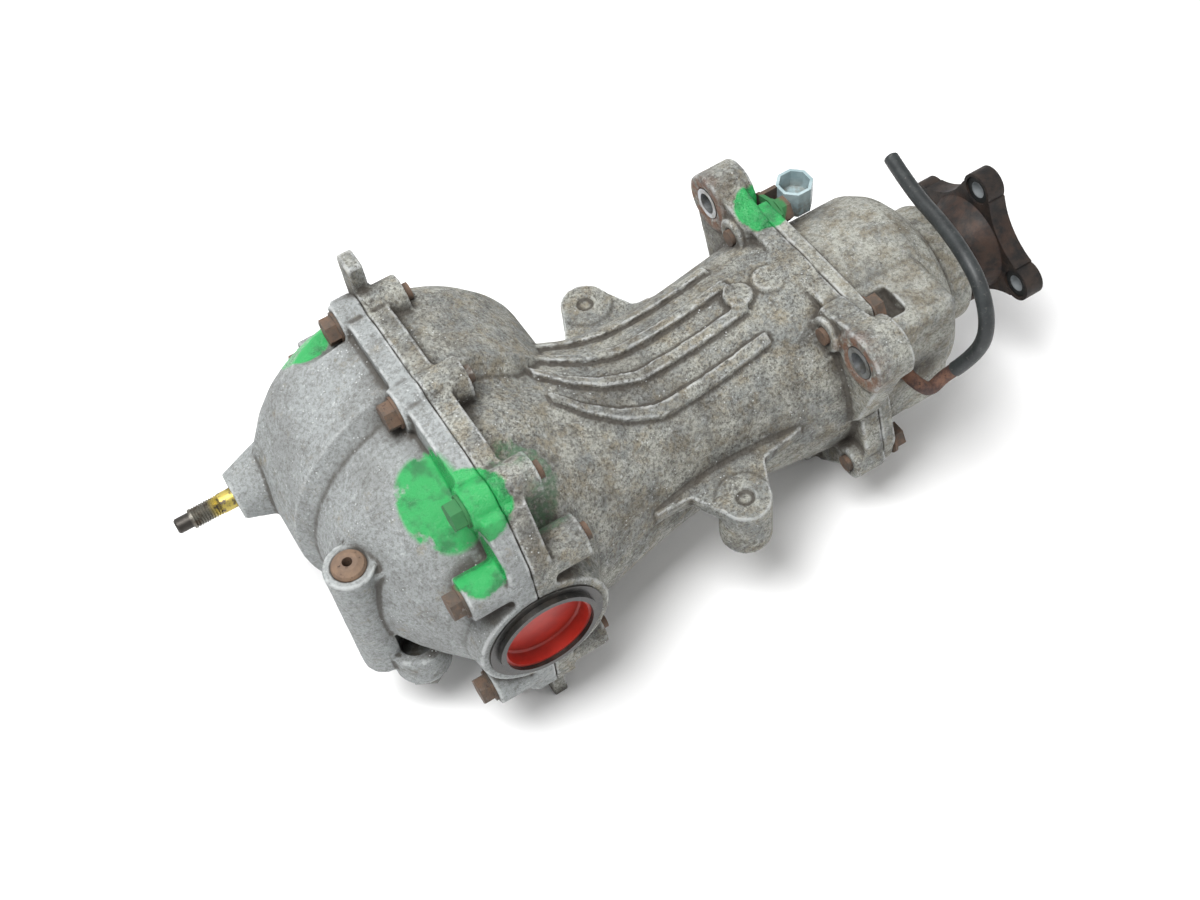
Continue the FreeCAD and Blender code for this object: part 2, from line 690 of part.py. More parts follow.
def neck_ribs():
    """Curved ribs along the top of the neck, which sweep towards the ring gear at their rear."""
    bands = []
    for i in range(4):
        middle = f"(-1.6 + {i}) * rib_pitch"
        spine = (
            ("rib_start", f"{middle} + 27"),
            ("rib_start + 14", f"{middle} + 14"),
            ("rib_start + 30", f"{middle} + 5"),
            ("rib_start + 50", middle),
            ("rib_end", f"{middle} + 4"),
        )
        points = [(x, f"{y} - rib_wide / 2") for x, y in spine]
        points += [(x, f"{y} + rib_wide / 2") for x, y in reversed(spine)]
        bands.append(plate(f"rib_band_{i + 1}", points, "2 * neck_root_rad", "XY", on_pinion()))
    return common("neck_ribs", [neck("rib_skin", "rib_high"), fuse("rib_bands", bands)])


def front_lug(side, sign):
    """A front mount lug with the web that carries it off the neck."""
    eye = cylinder(
        f"lug_{side}", "lug_rad", "lug_deep", "X", at_axle("lug_face", f"{sign} * lug_y", "lug_z")
    )
    points = [
        (f"{sign} * (lug_y + lug_rad - 0.5)", "lug_z - 3"),
        (f"{sign} * (lug_y + 2)", "lug_z - 52"),
        (f"{sign} * (lug_y - 20)", "lug_z - 80"),
        (f"{sign} * (lug_y - 48)", "lug_z - 30"),
        (f"{sign} * (lug_y - 38)", "lug_z + 8"),
        (f"{sign} * (lug_y - 6)", "lug_z + lug_rad - 1.5"),
    ]
    web = plate(f"lug_web_{side}", points, "lug_web", "YZ", at_axle("joint_x - lug_web", "0", "0"))
    return [eye, web]


def side_ear(side, sign):
    """A blind side ear: a round column, a flat web to the neck and an upright rib under it."""
    column = cylinder(
        f"ear_{side}", "ear_rad", "ear_high", "-Z", at_axle("ear_x", f"{sign} * ear_y", "ear_top")
    )
    points = [
        ("ear_x - 52", f"{sign} * (neck_b_rad - 18)"),
        ("ear_x - 45", f"{sign} * (neck_b_rad + 6)"),
        ("ear_x - 24", f"{sign} * (neck_b_rad + 7)"),
        ("ear_x - 14", f"{sign} * (ear_y + 4)"),
        ("ear_x + 14", f"{sign} * (ear_y + 4)"),
        ("ear_x + 24", f"{sign} * (neck_b_rad + 8)"),
        ("ear_x + 52", f"{sign} * (neck_b_rad + 4)"),
        ("ear_x + 58", f"{sign} * (neck_b_rad - 18)"),
    ]
    web = plate(f"ear_web_{side}", points, "ear_web", "XY", at_axle("0", "0", "ear_top - ear_web - 1"))
    rib = box(
        f"ear_rib_{side}", "ear_rad", "ear_y - neck_b_rad + 20", "ear_high - 2",
        at_axle("ear_x - ear_rad / 2", f"{sign} * (ear_y + neck_b_rad) / 2 - (ear_y - neck_b_rad) / 2 - 10",
                "ear_top - ear_high + 1"),
    )
    return [column, web, rib]


def joint_outline():
    """The outline shared by both flanges at the joint to the coupling housing."""
    half = [
        ("joint_bolt_y - 18", "joint_bolt_z + 10"),
        ("joint_bolt_y + 5", "joint_bolt_z + 9"),
        ("joint_bolt_y + 14", "joint_bolt_z - 8"),
        ("side_bolt_y + 8", "side_bolt_z + 10"),
        ("side_bolt_y + 6", "side_bolt_z - 9"),
        ("low_bolt_y + 12", "low_bolt_z - 8"),
    ]
    return half + [(f"-({y})", z) for y, z in reversed(half)]


def pinion_bore_profile():
    """Bearing seats, oil space, seal wall and coupling chamber inside the carrier."""
    tail = "pinion_back + height_shim + tail_wide"
    nose = "nose_x"
    return [
        ("mesh_x - gear_face", "0"),
        ("mesh_x - gear_face", "head_room_rad"),
        ("pinion_back + 1", "head_room_rad"),
        ("pinion_back + 1", "tail_cup_rad"),
        (tail, "tail_cup_rad"),
        (tail, "tail_cup_rad - 6"),
        (f"{tail} + 9", "tail_cup_rad - 6"),
        (f"{tail} + 14", "neck_b_rad - 9"),
        (f"{nose} - 12", "neck_b_rad - 9"),
        (f"{nose} - 7", "nose_cup_rad - 4"),
        (nose, "nose_cup_rad - 4"),
        (nose, "nose_cup_rad"),
        ("wall_x", "nose_cup_rad"),
        ("wall_x", "centre_seal_rad"),
        ("wall_x + wall_thick", "centre_seal_rad"),
        ("wall_x + wall_thick", "chamber_rad"),
        ("joint_x + 1", "chamber_rad"),
        ("joint_x + 1", "0"),
    ]


def carrier_housing():
    dome = common("carrier_dome", [
        turned("carrier_case", case_profile(), "Y", at_axle(y="mid_y")),
        half_space("carrier_side", "0"),
    ])
    bosses = row_of("carrier_short_boss", SHORT_BOLTS, "bolt_boss_rad", "bolt_boss_front", "0")
    bosses += row_of("carrier_long_boss", LONG_BOLTS, "bolt_boss_rad", "long_boss_front", "0")
    tabs = [
        box("pry_tab_top", "rim_thick - 3", "pry_tab_wide", "pry_tab_end - rim_cheek_z",
            at_axle("0", "mid_y + pry_tab_y - pry_tab_wide / 2", "rim_cheek_z")),
        box("pry_tab_low", "rim_thick - 3", "pry_tab_wide", "pry_tab_end - rim_cheek_z - 10",
            at_axle("0", "mid_y - pry_tab_y - pry_tab_wide / 2", "10 - pry_tab_end")),
    ]
    mounts = []
    for side, sign in SIDES:
        mounts += front_lug(side, sign) + side_ear(side, sign)
    cores = [
        cylinder(f"core_boss_{i}", "core_rad", "neck_c_rad + core_high", "Z", on_pinion(x, "0", "0"))
        for i, x in enumerate(("core_a_x", "core_b_x"), start=1)
    ]
    filler_boss = cylinder(
        "filler_boss", "plug_boss_rad", "plug_boss_long", "-Y",
        at_axle("filler_x", "mid_y + filler_face", "filler_z"),
    )
    joint_flange = plate(
        "carrier_joint", joint_outline(), "rim_thick", "YZ", on_pinion("joint_x - rim_thick")
    )
    joint_bosses = [
        cylinder(f"joint_boss_{i}", "bolt_boss_rad - 1", "joint_boss", "X",
                 on_pinion("joint_x - joint_boss", y, z))
        for i, (y, z) in enumerate(JOINT_BOLTS, start=1)
    ]
    outside = fuse("carrier_outside", [
        dome, rim("carrier_rim", "0"), neck("neck", "0"), neck_ribs(), joint_flange, filler_boss,
    ] + bosses + tabs + mounts + cores + joint_bosses)
    cavity = turned("carrier_cavity", case_cavity_profile(), "Y", at_axle(y="mid_y"))
    shell = cut("carrier_shell", outside, [cavity, half_space("carrier_rear", "-2 * barrel_rad")])
    hub = cylinder(
        "tail_bearing_hub", "tail_cup_rad + case_wall", "height_shim + tail_wide + 8", "X",
        on_pinion("pinion_back + 1"),
    )
    holes = row_of("carrier_short_hole", SHORT_BOLTS, "case_bolt_rad",
                   "bolt_boss_front + case_bolt_tip + 2", "-1")
    holes += row_of("carrier_long_hole", LONG_BOLTS, "case_bolt_rad",
                    "long_boss_front + case_bolt_tip + 2", "-1")
    holes += [
        cylinder(f"joint_hole_{i}", "case_bolt_rad", "joint_boss + 2", "X",
                 on_pinion("joint_x - joint_boss - 1", y, z))
        for i, (y, z) in enumerate(JOINT_BOLTS, start=1)
    ]
    holes.append(cylinder("filler_way", "plug_rad", "2 * plug_boss_long", "-Y",
                          at_axle("filler_x", "mid_y + filler_face + 1", "filler_z")))
    for side, sign in SIDES:
        holes.append(cylinder(
            f"lug_hole_{side}", "sleeve_rad", "lug_deep + 2", "X",
            at_axle("lug_face - 1", f"{sign} * lug_y", "lug_z")))
        holes.append(cylinder(
            f"ear_dimple_{side}", "dimple_rad", "dimple_deep", "-Z",
            at_axle("ear_x", f"{sign} * ear_y", "ear_top")))
    bore = turned("pinion_bore", pinion_bore_profile(), "X", on_pinion())
    solid = fuse("carrier_solid", [shell, hub])
    node("carrier_housing", cut("carrier", solid, [bore] + holes))


# Coupling housing


def coupling_housing():
    body = turned("hood", [
        ("joint_x", "0"),
        ("joint_x", "hood_rad"),
        ("hood_front", "hood_rad"),
        ("hood_face - 6", "hood_rad - 5"),
        ("hood_face", "hood_face_rad"),
        ("hood_face + 3", "snout_rad + 3"),
        ("hood_face + 6", "snout_rad"),
        ("snout_end - 2", "snout_rad"),
        ("snout_end", "snout_rad - 2"),
        ("snout_end", "0"),
    ], "X", on_pinion())
    shelf = box(
        "shelf", "hood_front - joint_x", "shelf_y", "shelf_z - shelf_low",
        on_pinion("joint_x", "-shelf_y", "shelf_low"),
    )
    shelf_round = rounded(shelf, "shelf_round", "7", lambda edge: (
        edge.BoundBox.XMax > size("axle_x + hood_front") - 1 and edge.BoundBox.YLength < 1
        and edge.BoundBox.YMax < 0) or edge.BoundBox.XLength < 1 and edge.BoundBox.ZLength < 1
        and edge.BoundBox.XMax > size("axle_x + hood_front") - 1)
    flange = plate("hood_joint", joint_outline(), "joint_flange", "YZ", on_pinion("joint_x"))
    chamber = turned("hood_chamber", [
        ("joint_x - 1", "0"),
        ("joint_x - 1", "chamber_rad"),
        ("chamber_front - 6", "chamber_rad"),
        ("chamber_front", "chamber_rad - 6"),
        ("chamber_front", "input_cup_rad"),
        ("input_bearing_x + input_wide", "input_cup_rad"),
        ("input_bearing_x + input_wide", "front_seal_rad - 3"),
        ("snout_end - front_seal_wide", "front_seal_rad - 3"),
        ("snout_end - front_seal_wide", "front_seal_rad"),
        ("snout_end + 1", "front_seal_rad"),
        ("snout_end + 1", "0"),
    ], "X", on_pinion())
    holes = [
        cylinder(f"hood_hole_{i}", "case_bolt_rad + free_gap", "joint_flange + 2", "X",
                 on_pinion("joint_x - 1", y, z))
        for i, (y, z) in enumerate(JOINT_BOLTS, start=1)
    ]
    seats = [
        cylinder(f"hood_seat_{i}", "hex_collar_rad + head_room", "joint_boss", "X",
                 on_pinion("joint_x + joint_flange", y, z))
        for i, (y, z) in enumerate(JOINT_BOLTS, start=1)
    ]
    pipe_x, _, pipe_z = PIPE_ROUTE[0]
    pipe_way = cylinder("pipe_way", "pipe_rad", "shelf_y - chamber_rad + 12", "Y",
                        at_axle(str(pipe_x), "-shelf_y - 1", str(pipe_z)))
    reliefs = [
        cylinder(f"lug_relief_{side}", "lug_rad + 1", "lug_face + lug_deep - joint_x + 1", "X",
                 at_axle("joint_x", f"{sign} * lug_y", "lug_z"))
        for side, sign in SIDES
    ]
    outside = fuse("hood_outside", [body, shelf_round, flange])
    node("coupling_housing", cut("hood_shell", outside, [chamber, pipe_way] + holes + seats + reliefs))


# Bearings, seals and other pieces seated in the castings


def tapered_bearing(name, bore, cup, wide, count, axis, where, bodies):
    """Inner race, rollers with their cage, and outer race; the rollers open towards the axis."""
    inner_name, roller_name, outer_name = bodies
    slope = 0.2
    mean = f"({bore} + {cup}) / 2"
    roller = f"({cup} - {bore}) * 0.23"
    lip = 2

    def raceway(along, side):
        return f"{mean} + {side} * ({roller} + free_gap) + {slope} * ({along} - {wide} / 2)"

    near, far = str(lip), f"{wide} - {lip}"
    node(inner_name, turned(inner_name, [
        ("0", bore),
        (wide, bore),
        (wide, f"{raceway(wide, -1)} + 2.4"),
        (far, f"{raceway(wide, -1)} + 2.4"),
        (far, raceway(far, -1)),
        (near, raceway(near, -1)),
        (near, f"{raceway(near, -1)} + 0.8"),
        ("0", f"{raceway(near, -1)} + 0.8"),
    ], axis, where))
    node(outer_name, turned(outer_name, [
        ("0", raceway("0", 1)),
        (f"{wide} - 1.5", raceway(f"{wide} - 1.5", 1)),
        (f"{wide} - 1.5", cup),
        ("0", cup),
    ], axis, where))
    tilt = math.degrees(math.atan(slope))
    half = size(f"{wide} / 2 - {lip} - 1.1") / math.cos(math.radians(tilt))
    middle = Vector(size(f"{wide} / 2"), size(mean), 0)
    along = Vector(math.cos(math.radians(tilt)), math.sin(math.radians(tilt)), 0)
    first = Part.makeCylinder(size(roller), 2 * half, middle - along * half, along)
    turn = 360 / count
    rollers = [first.rotated(Vector(), Vector(1, 0, 0), i * turn) for i in range(count)]
    edge_a = middle - along * (half * 0.7)
    edge_b = middle + along * (half * 0.7)
    across = Vector(-along.y, along.x, 0) * 0.7
    strip = Part.makePolygon([edge_a - across, edge_b - across, edge_b + across, edge_a + across,
                              edge_a - across])
    cage = Part.Face(strip).revolve(Vector(), Vector(1, 0, 0), 360)
    place(node(roller_name, shaped(roller_name, cage.fuse(rollers))), X_TO[axis], where)


def side_bearings():
    for side, sign in SIDES:
        tapered_bearing(
            f"side_bearing_{side}", "journal_rad", "side_cup_rad", "side_bearing_wide", 14,
            "-Y" if sign > 0 else "Y",
            at_axle("0", f"mid_y + {sign} * (side_bearing_y + side_bearing_wide)"),
            (f"side_bearing_inner_{side}", f"side_bearing_rollers_{side}", f"side_bearing_outer_{side}"),
        )
    shims = [
        ring(f"side_shim_{side}", "journal_rad + 6", "side_cup_rad", "shim_thick", "Y" if sign > 0 else "-Y",
             at_axle("0", f"mid_y + {sign} * (side_bearing_y + side_bearing_wide)"))
        for side, sign in SIDES
    ]
    node("side_bearing_shims", group("side_shims", shims))


def axle_seals():
    for side, sign in SIDES:
        axis = "Y" if sign > 0 else "-Y"
        node(f"axle_seal_{side}", turned(f"axle_seal_{side}", [
            ("-seal_deep", "seal_bore - 2.5"),
            ("-seal_deep + 1.5", "seal_bore - 2.5"),
            ("-seal_deep + 1.5", "seal_bore"),
            ("seal_proud", "seal_bore"),
            ("seal_proud", "seal_lip_rad"),
            ("0.8", "seal_lip_rad"),
            ("0.8", "seal_rad + 1.5"),
            ("0", "seal_rad + 1.5"),
            ("0", "seal_rad"),
            ("-seal_deep", "seal_rad"),
        ], axis, at_axle("0", f"mid_y + {sign} * seal_face")))
        node(f"transport_plug_{side}", turned(f"transport_plug_{side}", [
            ("-cup_deep", "0"),
            ("-cup_deep", "seal_bore"),
            ("seal_proud - 2.5", "seal_bore"),
            ("seal_proud - 2.5", "seal_bore - cup_wall"),
            ("-cup_deep + cup_wall + 1", "seal_bore - cup_wall"),
            ("-cup_deep + cup_wall", "seal_bore - cup_wall - 1"),
            ("-cup_deep + cup_wall", "0"),
        ], axis, at_axle("0", f"mid_y + {sign} * seal_face")))


# Differential


def bevel_gear(teeth, mate, bore, back):
    """A straight bevel gear with its apex at the origin, facing back along its +X axis."""
    module = size("bevel_module")
    angle = math.atan2(teeth, mate)
    reach = module * teeth / 2 / math.sin(angle)
    face = size("bevel_face")
    addendum, dedendum = 0.8 * module, 1.05 * module
    flank = math.tan(math.radians(21))

    def point(distance, height):
        share = distance / reach
        return (distance * math.cos(angle) - height * share * math.sin(angle),
                distance * math.sin(angle) + height * share * math.cos(angle))

    def station(distance):
        share = distance / reach
        corners = []
        for height, side in ((-dedendum - 0.8, -1), (addendum, -1), (addendum, 1), (-dedendum - 0.8, 1)):
            x, radius = point(distance, height)
            half = share * (0.43 * math.pi * module / 2 - height * flank)
            turn = side * half / radius
            corners.append(Vector(x, radius * math.cos(turn), radius * math.sin(turn)))
        return Part.makePolygon(corners + corners[:1])

    tooth = Part.makeLoft([station(reach), station(reach - face)], True, True)
    x_in, rad_in = point(reach - face, -dedendum)
    x_out, rad_out = point(reach, -dedendum)
    blank = Part.Face(Part.makePolygon([
        Vector(x_in, bore, 0), Vector(x_in, rad_in, 0), Vector(x_out, rad_out, 0),
        Vector(back, rad_out, 0), Vector(back, bore, 0), Vector(x_in, bore, 0),
    ])).revolve(Vector(), Vector(1, 0, 0), 360)
    return blank, tooth


def with_teeth(blank, tooth, count, first):
    """Join count copies of a tooth, the first turned by the given angle about X."""
    axis = Vector(1, 0, 0)
    return blank.fuse([tooth.rotated(Vector(), axis, first + i * 360 / count) for i in range(count)])


def differential_gears():
    side_teeth, spider_teeth = int(size("side_teeth")), int(size("spider_teeth"))
    back = size("bevel_module * spider_teeth / 2 + 6.6")
    blank, tooth = bevel_gear(side_teeth, spider_teeth, size("spline_rad"), back)
    hub = Part.makeCylinder(size("spline_rad + 4"), 14, Vector(back - 1, 0, 0), Vector(1, 0, 0))
    hub_bore = Part.makeCylinder(size("spline_rad"), 60, Vector(0, 0, 0), Vector(1, 0, 0))
    # A gap faces each spider gear, which carries a tooth on either side gear's line
    gap = 90 + 180 / side_teeth
    for side, sign in SIDES:
        gear = with_teeth(blank, tooth, side_teeth, gap).fuse(hub).cut(hub_bore)
        part = node(f"side_gear_{side}", shaped(f"side_gear_{side}", gear))
        place(part, X_TO["Y" if sign > 0 else "-Y"], at_axle("0", "gearset_y"))
    washers = [
        ring(f"side_washer_{side}", "spline_rad + 4.3", "spline_rad + 9", "washer_thick",
             "Y" if sign > 0 else "-Y",
             at_axle("0", f"gearset_y + {sign} * (bevel_module * spider_teeth / 2 + 6.7)"))
        for side, sign in SIDES
    ]
    node("side_gear_washers", group("side_washers", washers))
    pin = size("cross_pin_rad + fit_gap")
    ball = size("bevel_module * side_teeth / 2 + 10")
    blank, tooth = bevel_gear(spider_teeth, side_teeth, pin, ball + 2)
    round_back = Part.makeSphere(ball)
    cap = Part.makeSphere(ball + size("washer_thick + 0.2")).cut(Part.makeSphere(ball + 0.2))
    cap = cap.common(Part.makeCylinder(14, 60, Vector(), Vector(1, 0, 0)))
    cap = cap.cut(Part.makeCylinder(pin, 60, Vector(), Vector(1, 0, 0)))
    caps = []
    for side, axis in (("upper", "Z"), ("lower", "-Z")):
        gear = with_teeth(blank, tooth, spider_teeth, 0).common(round_back)
        part = node(f"spider_gear_{side}", shaped(f"spider_gear_{side}", gear))
        place(part, X_TO[axis], at_axle("0", "gearset_y"))
        caps.append(place(shaped(f"spider_washer_{side}", cap), X_TO[axis], at_axle("0", "gearset_y")))
    node("spider_gear_washers", group("spider_washers", caps))


def differential_case():
    end = "side_bearing_y + side_bearing_wide + 1"
    seat = "ring_seat_y - mid_y"
    outside = turned("case_outside", [
        (f"-({end})", "0"),
        (f"-({end})", "journal_rad"),
        ("-side_bearing_y", "journal_rad"),
        ("-side_bearing_y", "journal_rad + 5"),
        ("-side_bearing_y + 6", "journal_rad + 5"),
        ("-side_bearing_y + 16", "drum_rad - 4"),
        ("-side_bearing_y + 20", "drum_rad"),
        (seat, "drum_rad"),
        (seat, "ring_flange_rad"),
        (f"{seat} + ring_flange_thick", "ring_flange_rad"),
        (f"{seat} + ring_flange_thick", "journal_rad + 10"),
        ("side_bearing_y - 2", "journal_rad + 5"),
        ("side_bearing_y", "journal_rad + 5"),
        ("side_bearing_y", "journal_rad"),
        (end, "journal_rad"),
        (end, "0"),
    ], "Y", at_axle("0", "mid_y"))
    gear_room = doc.addObject("Part::Sphere", "gear_room")
    bind(gear_room, Radius="bevel_module * side_teeth / 2 + 10.2 + washer_thick")
    place(gear_room, Rotation(), at_axle("0", "gearset_y"))
    reach = "bevel_module * spider_teeth / 2 + 6.7 + washer_thick"
    tools = [
        gear_room,
        cylinder("washer_room", "spline_rad + 12", f"2 * ({reach})", "Y",
                 at_axle("0", f"gearset_y - ({reach})")),
        cylinder("axle_way", "spline_rad + 4 + fit_gap", "200", "Y", at_axle("0", "mid_y - 100")),
        cylinder("window", "drum_rad / 2 + 1", "4 * drum_rad", "X", at_axle("-2 * drum_rad", "gearset_y")),
        cylinder("pin_way", "cross_pin_rad", "4 * drum_rad", "Z", at_axle("0", "gearset_y", "-2 * drum_rad")),
        cylinder("lock_way", "lock_pin_rad", "3 * cross_pin_rad + 16", "Y",
                 at_axle("0", "gearset_y - 20", "drum_rad - 5")),
    ]
    bolt_turn = 360 / size("ring_bolt_count")
    heads, clearances = [], []
    for i in range(int(size("ring_bolt_count"))):
        turn = f"{i * bolt_turn} deg"
        where = at_axle(f"ring_bolt_circle * cos({turn})", "ring_seat_y - ring_bolt_in",
                        f"ring_bolt_circle * sin({turn})")
        clearances.append(cylinder(f"ring_bolt_way_{i}", "case_bolt_rad", "40", "Y", where))
        shank = cylinder(f"ring_bolt_shank_{i}", "case_bolt_rad",
                         "ring_bolt_in + ring_flange_thick + 1", "Y", where)
        x, _, z = where
        head = prism(f"ring_bolt_head_{i}", 6, "hex_half", "hex_high", "Y",
                       (x, "ring_seat_y + ring_flange_thick", z))
        heads.append(fuse(f"ring_bolt_{i}", [shank, head]))
    node("differential_case", cut("case_body", outside, tools + clearances))
    node("ring_gear_bolts", group("ring_bolts", heads))
    pin_half = "drum_rad - 1"
    pin = cylinder("pin_body", "cross_pin_rad", f"2 * ({pin_half})", "Z",
                   at_axle("0", "gearset_y", f"-({pin_half})"))
    pin_hole = cylinder("pin_hole", "lock_pin_rad", "4 * cross_pin_rad", "Y",
                        at_axle("0", "gearset_y - 2 * cross_pin_rad", "drum_rad - 5"))
    node("cross_pin", cut("cross_pin_body", pin, [pin_hole]))
    node("lock_pin", cylinder("lock_pin_body", "lock_pin_rad", "3 * cross_pin_rad + 16", "Y",
                              at_axle("0", "gearset_y - 20", "drum_rad - 5")))


# Hypoid gears


def hypoid_mesh():
    """Where the pitch cones touch, and how the teeth lie there.

    The common normal at the touching point passes through both axes, so the point and the two
    offsets along that normal follow from the mean radii, the hypoid offset and the mesh's place.
    """
    ring_rad, pinion_rad = size("ring_mean_rad"), size("pinion_mean_rad")
    offset, x = size("axle_z"), size("mesh_x")
    drop = math.sqrt(ring_rad ** 2 - x ** 2)
    y = math.sqrt(pinion_rad ** 2 - (offset - drop) ** 2)
    share = drop / offset
    across, back = x / share, y / (1 - share)
    normal = Vector(across, -back, -offset).normalize()
    ring_angle = math.asin(-normal.y)
    pinion_angle = math.asin(normal.x)
    ring_turn = math.asin(drop / ring_rad)
    pinion_turn = math.atan2(offset - drop, y)
    ring_out = Vector(math.sin(ring_angle) * math.cos(ring_turn), math.cos(ring_angle),
                      -math.sin(ring_angle) * math.sin(ring_turn))
    pinion_out = Vector(math.cos(pinion_angle), math.sin(pinion_angle) * math.cos(pinion_turn),
                        math.sin(pinion_angle) * math.sin(pinion_turn))
    ring_way = Vector(-math.sin(ring_turn), 0, -math.cos(ring_turn))
    pinion_way = Vector(0, -math.sin(pinion_turn), math.cos(pinion_turn))
    shift = ring_out.getAngle(pinion_out)
    ratio = ring_rad / pinion_rad * size("pinion_teeth") / size("ring_teeth")
    ring_spiral = math.atan((math.cos(shift) - ratio) / math.sin(shift))
    ring_hand = -math.copysign(1, pinion_out.dot(ring_way))
    trace = ring_out + ring_way * (ring_hand * math.tan(ring_spiral))
    pinion_hand = math.copysign(1, trace.dot(pinion_way))
    return {
        "y": y,
        "ring": (ring_angle, ring_turn, ring_hand * ring_spiral),
        "pinion": (pinion_angle, pinion_turn, pinion_hand * (ring_spiral + shift)),
    }


def spiral_tooth(mean_rad, cone, spiral, count, below, above, place_point):
    """One spiral tooth as a ruled loft through stations along the cone."""
    face = size("gear_face")
    share = size("tooth_share")
    flank = math.tan(math.radians(20))
    wires = []
    for step in (-0.5, -0.17, 0.17, 0.5):
        along = step * face
        radius = mean_rad + along * math.sin(cone)
        lead = math.tan(spiral) / math.sin(cone) * math.log(radius / mean_rad)
        half_pitch = share * math.pi * radius / count
        corners = []
        for height, side in ((-below, -1), (above, -1), (above, 1), (-below, 1)):
            half = half_pitch - height * flank / math.cos(spiral)
            corners.append(place_point(along, height, lead + side * half / radius))
        wires.append(Part.makePolygon(corners + corners[:1]))
    tooth = Part.makeLoft(wires, True, True)
    tooth.fix(FINE, FINE, FINE)
    return tooth


def ring_gear():
    mesh = hypoid_mesh()
    cone, turn, spiral = mesh["ring"]
    mean = size("ring_mean_rad")
    face = size("gear_face")

    def meridian(along, height):
        radius = mean + along * math.sin(cone) + height * math.cos(cone)
        return radius, mesh["y"] + along * math.cos(cone) - height * math.sin(cone)

    def point(along, height, angle):
        radius, y = meridian(along, height)
        return Vector(radius * math.cos(angle), y, -radius * math.sin(angle))

    count = int(size("ring_teeth"))
    root = size("ring_dedendum")
    tooth = spiral_tooth(mean, cone, spiral, count, root + 0.8, size("ring_addendum"), point)
    inner_rad, inner_y = meridian(-face / 2, -root)
    outer_rad, outer_y = meridian(face / 2, -root)
    rim_rad, _ = meridian(face / 2, 0)
    bore, back = size("drum_rad"), size("ring_seat_y")
    corners = [(bore, inner_y), (inner_rad, inner_y), (outer_rad, outer_y), (rim_rad + 1, outer_y + 1.5),
               (rim_rad + 1, back), (bore, back)]
    wire = Part.makePolygon([Vector(radius, y, 0) for radius, y in corners + corners[:1]])
    axis = Vector(0, 1, 0)
    blank = Part.Face(wire).revolve(Vector(), axis, 360)
    start = math.degrees(turn) + 180 / count
    gear = blank.fuse([tooth.rotated(Vector(), axis, start + i * 360 / count) for i in range(count)])
    bolt_count = int(size("ring_bolt_count"))
    foot = Vector(size("ring_bolt_circle"), back - size("ring_bolt_in"), 0)
    bolt_hole = Part.makeCylinder(size("case_bolt_rad"), size("ring_bolt_in + 1"), foot, axis)
    gear = gear.cut([bolt_hole.rotated(Vector(), axis, i * 360 / bolt_count) for i in range(bolt_count)])
    place(node("ring_gear", shaped("ring_gear", gear)), Rotation(), at_axle())


def drive_pinion():
    mesh = hypoid_mesh()
    cone, turn, spiral = mesh["pinion"]
    mean = size("pinion_mean_rad")
    face = size("gear_face")

    def meridian(along, height):
        return (size("mesh_x") + along * math.cos(cone) - height * math.sin(cone),
                mean + along * math.sin(cone) + height * math.cos(cone))

    def point(along, height, angle):
        x, radius = meridian(along, height)
        return Vector(x, radius * math.cos(angle), radius * math.sin(angle))

    count = int(size("pinion_teeth"))
    root = size("pinion_dedendum")
    tooth = spiral_tooth(mean, cone, spiral, count, root + 0.8, size("pinion_addendum"), point)
    x_in, rad_in = meridian(-face / 2, -root)
    x_out, rad_out = meridian(face / 2, -root)
    back = size("pinion_back")
    tail_end = back + size("height_shim + tail_wide")
    profile = [
        (x_in, 0), (x_in, rad_in), (x_out, rad_out), (back - 1.5, rad_out), (back, rad_out - 6),
        (back, size("tail_shaft_rad")), (tail_end, size("tail_shaft_rad")),
        (tail_end, size("nose_shaft_rad")),
        (size("nose_x + nose_wide + pinion_nut_high + 2"), size("nose_shaft_rad")),
        (size("wall_x - 2"), size("stub_rad + 1")), (size("wall_x + wall_thick + 3"), size("stub_rad + 1")),
        (size("wall_x + wall_thick + 3"), size("stub_rad")), (size("stub_end"), size("stub_rad")),
        (size("stub_end"), 0),
    ]
    wire = Part.makePolygon([Vector(x, radius, 0) for x, radius in profile + profile[:1]])
    blank = Part.Face(wire).revolve(Vector(), Vector(1, 0, 0), 360)
    gear = with_teeth(blank, tooth, count, math.degrees(turn))
    place(node("drive_pinion", shaped("drive_pinion", gear)), Rotation(), on_pinion())


# Pieces stacked on the pinion


def bored_nut(name, half_flats, height, bore, where):
    blank = prism(name + "_blank", 6, half_flats, height, "X", where)
    thread = cylinder(name + "_thread", bore, height, "X", where)
    return cut(name, blank, [thread])


def lip_seal(name, inner, outer, wide, axis, where):
    """A shaft seal: a steel cup pressed in its seat, with a rubber lip turned inwards from its face."""
    return turned(name, [
        ("0", inner),
        ("0", outer),
        (wide, outer),
        (wide, f"{outer} - 2"),
        ("1.5", f"{outer} - 2"),
        ("1.5", f"{inner} + 2"),
        (f"{wide} - 1", f"{inner} + 1.5"),
        (f"{wide} - 1", inner),
    ], axis, where)


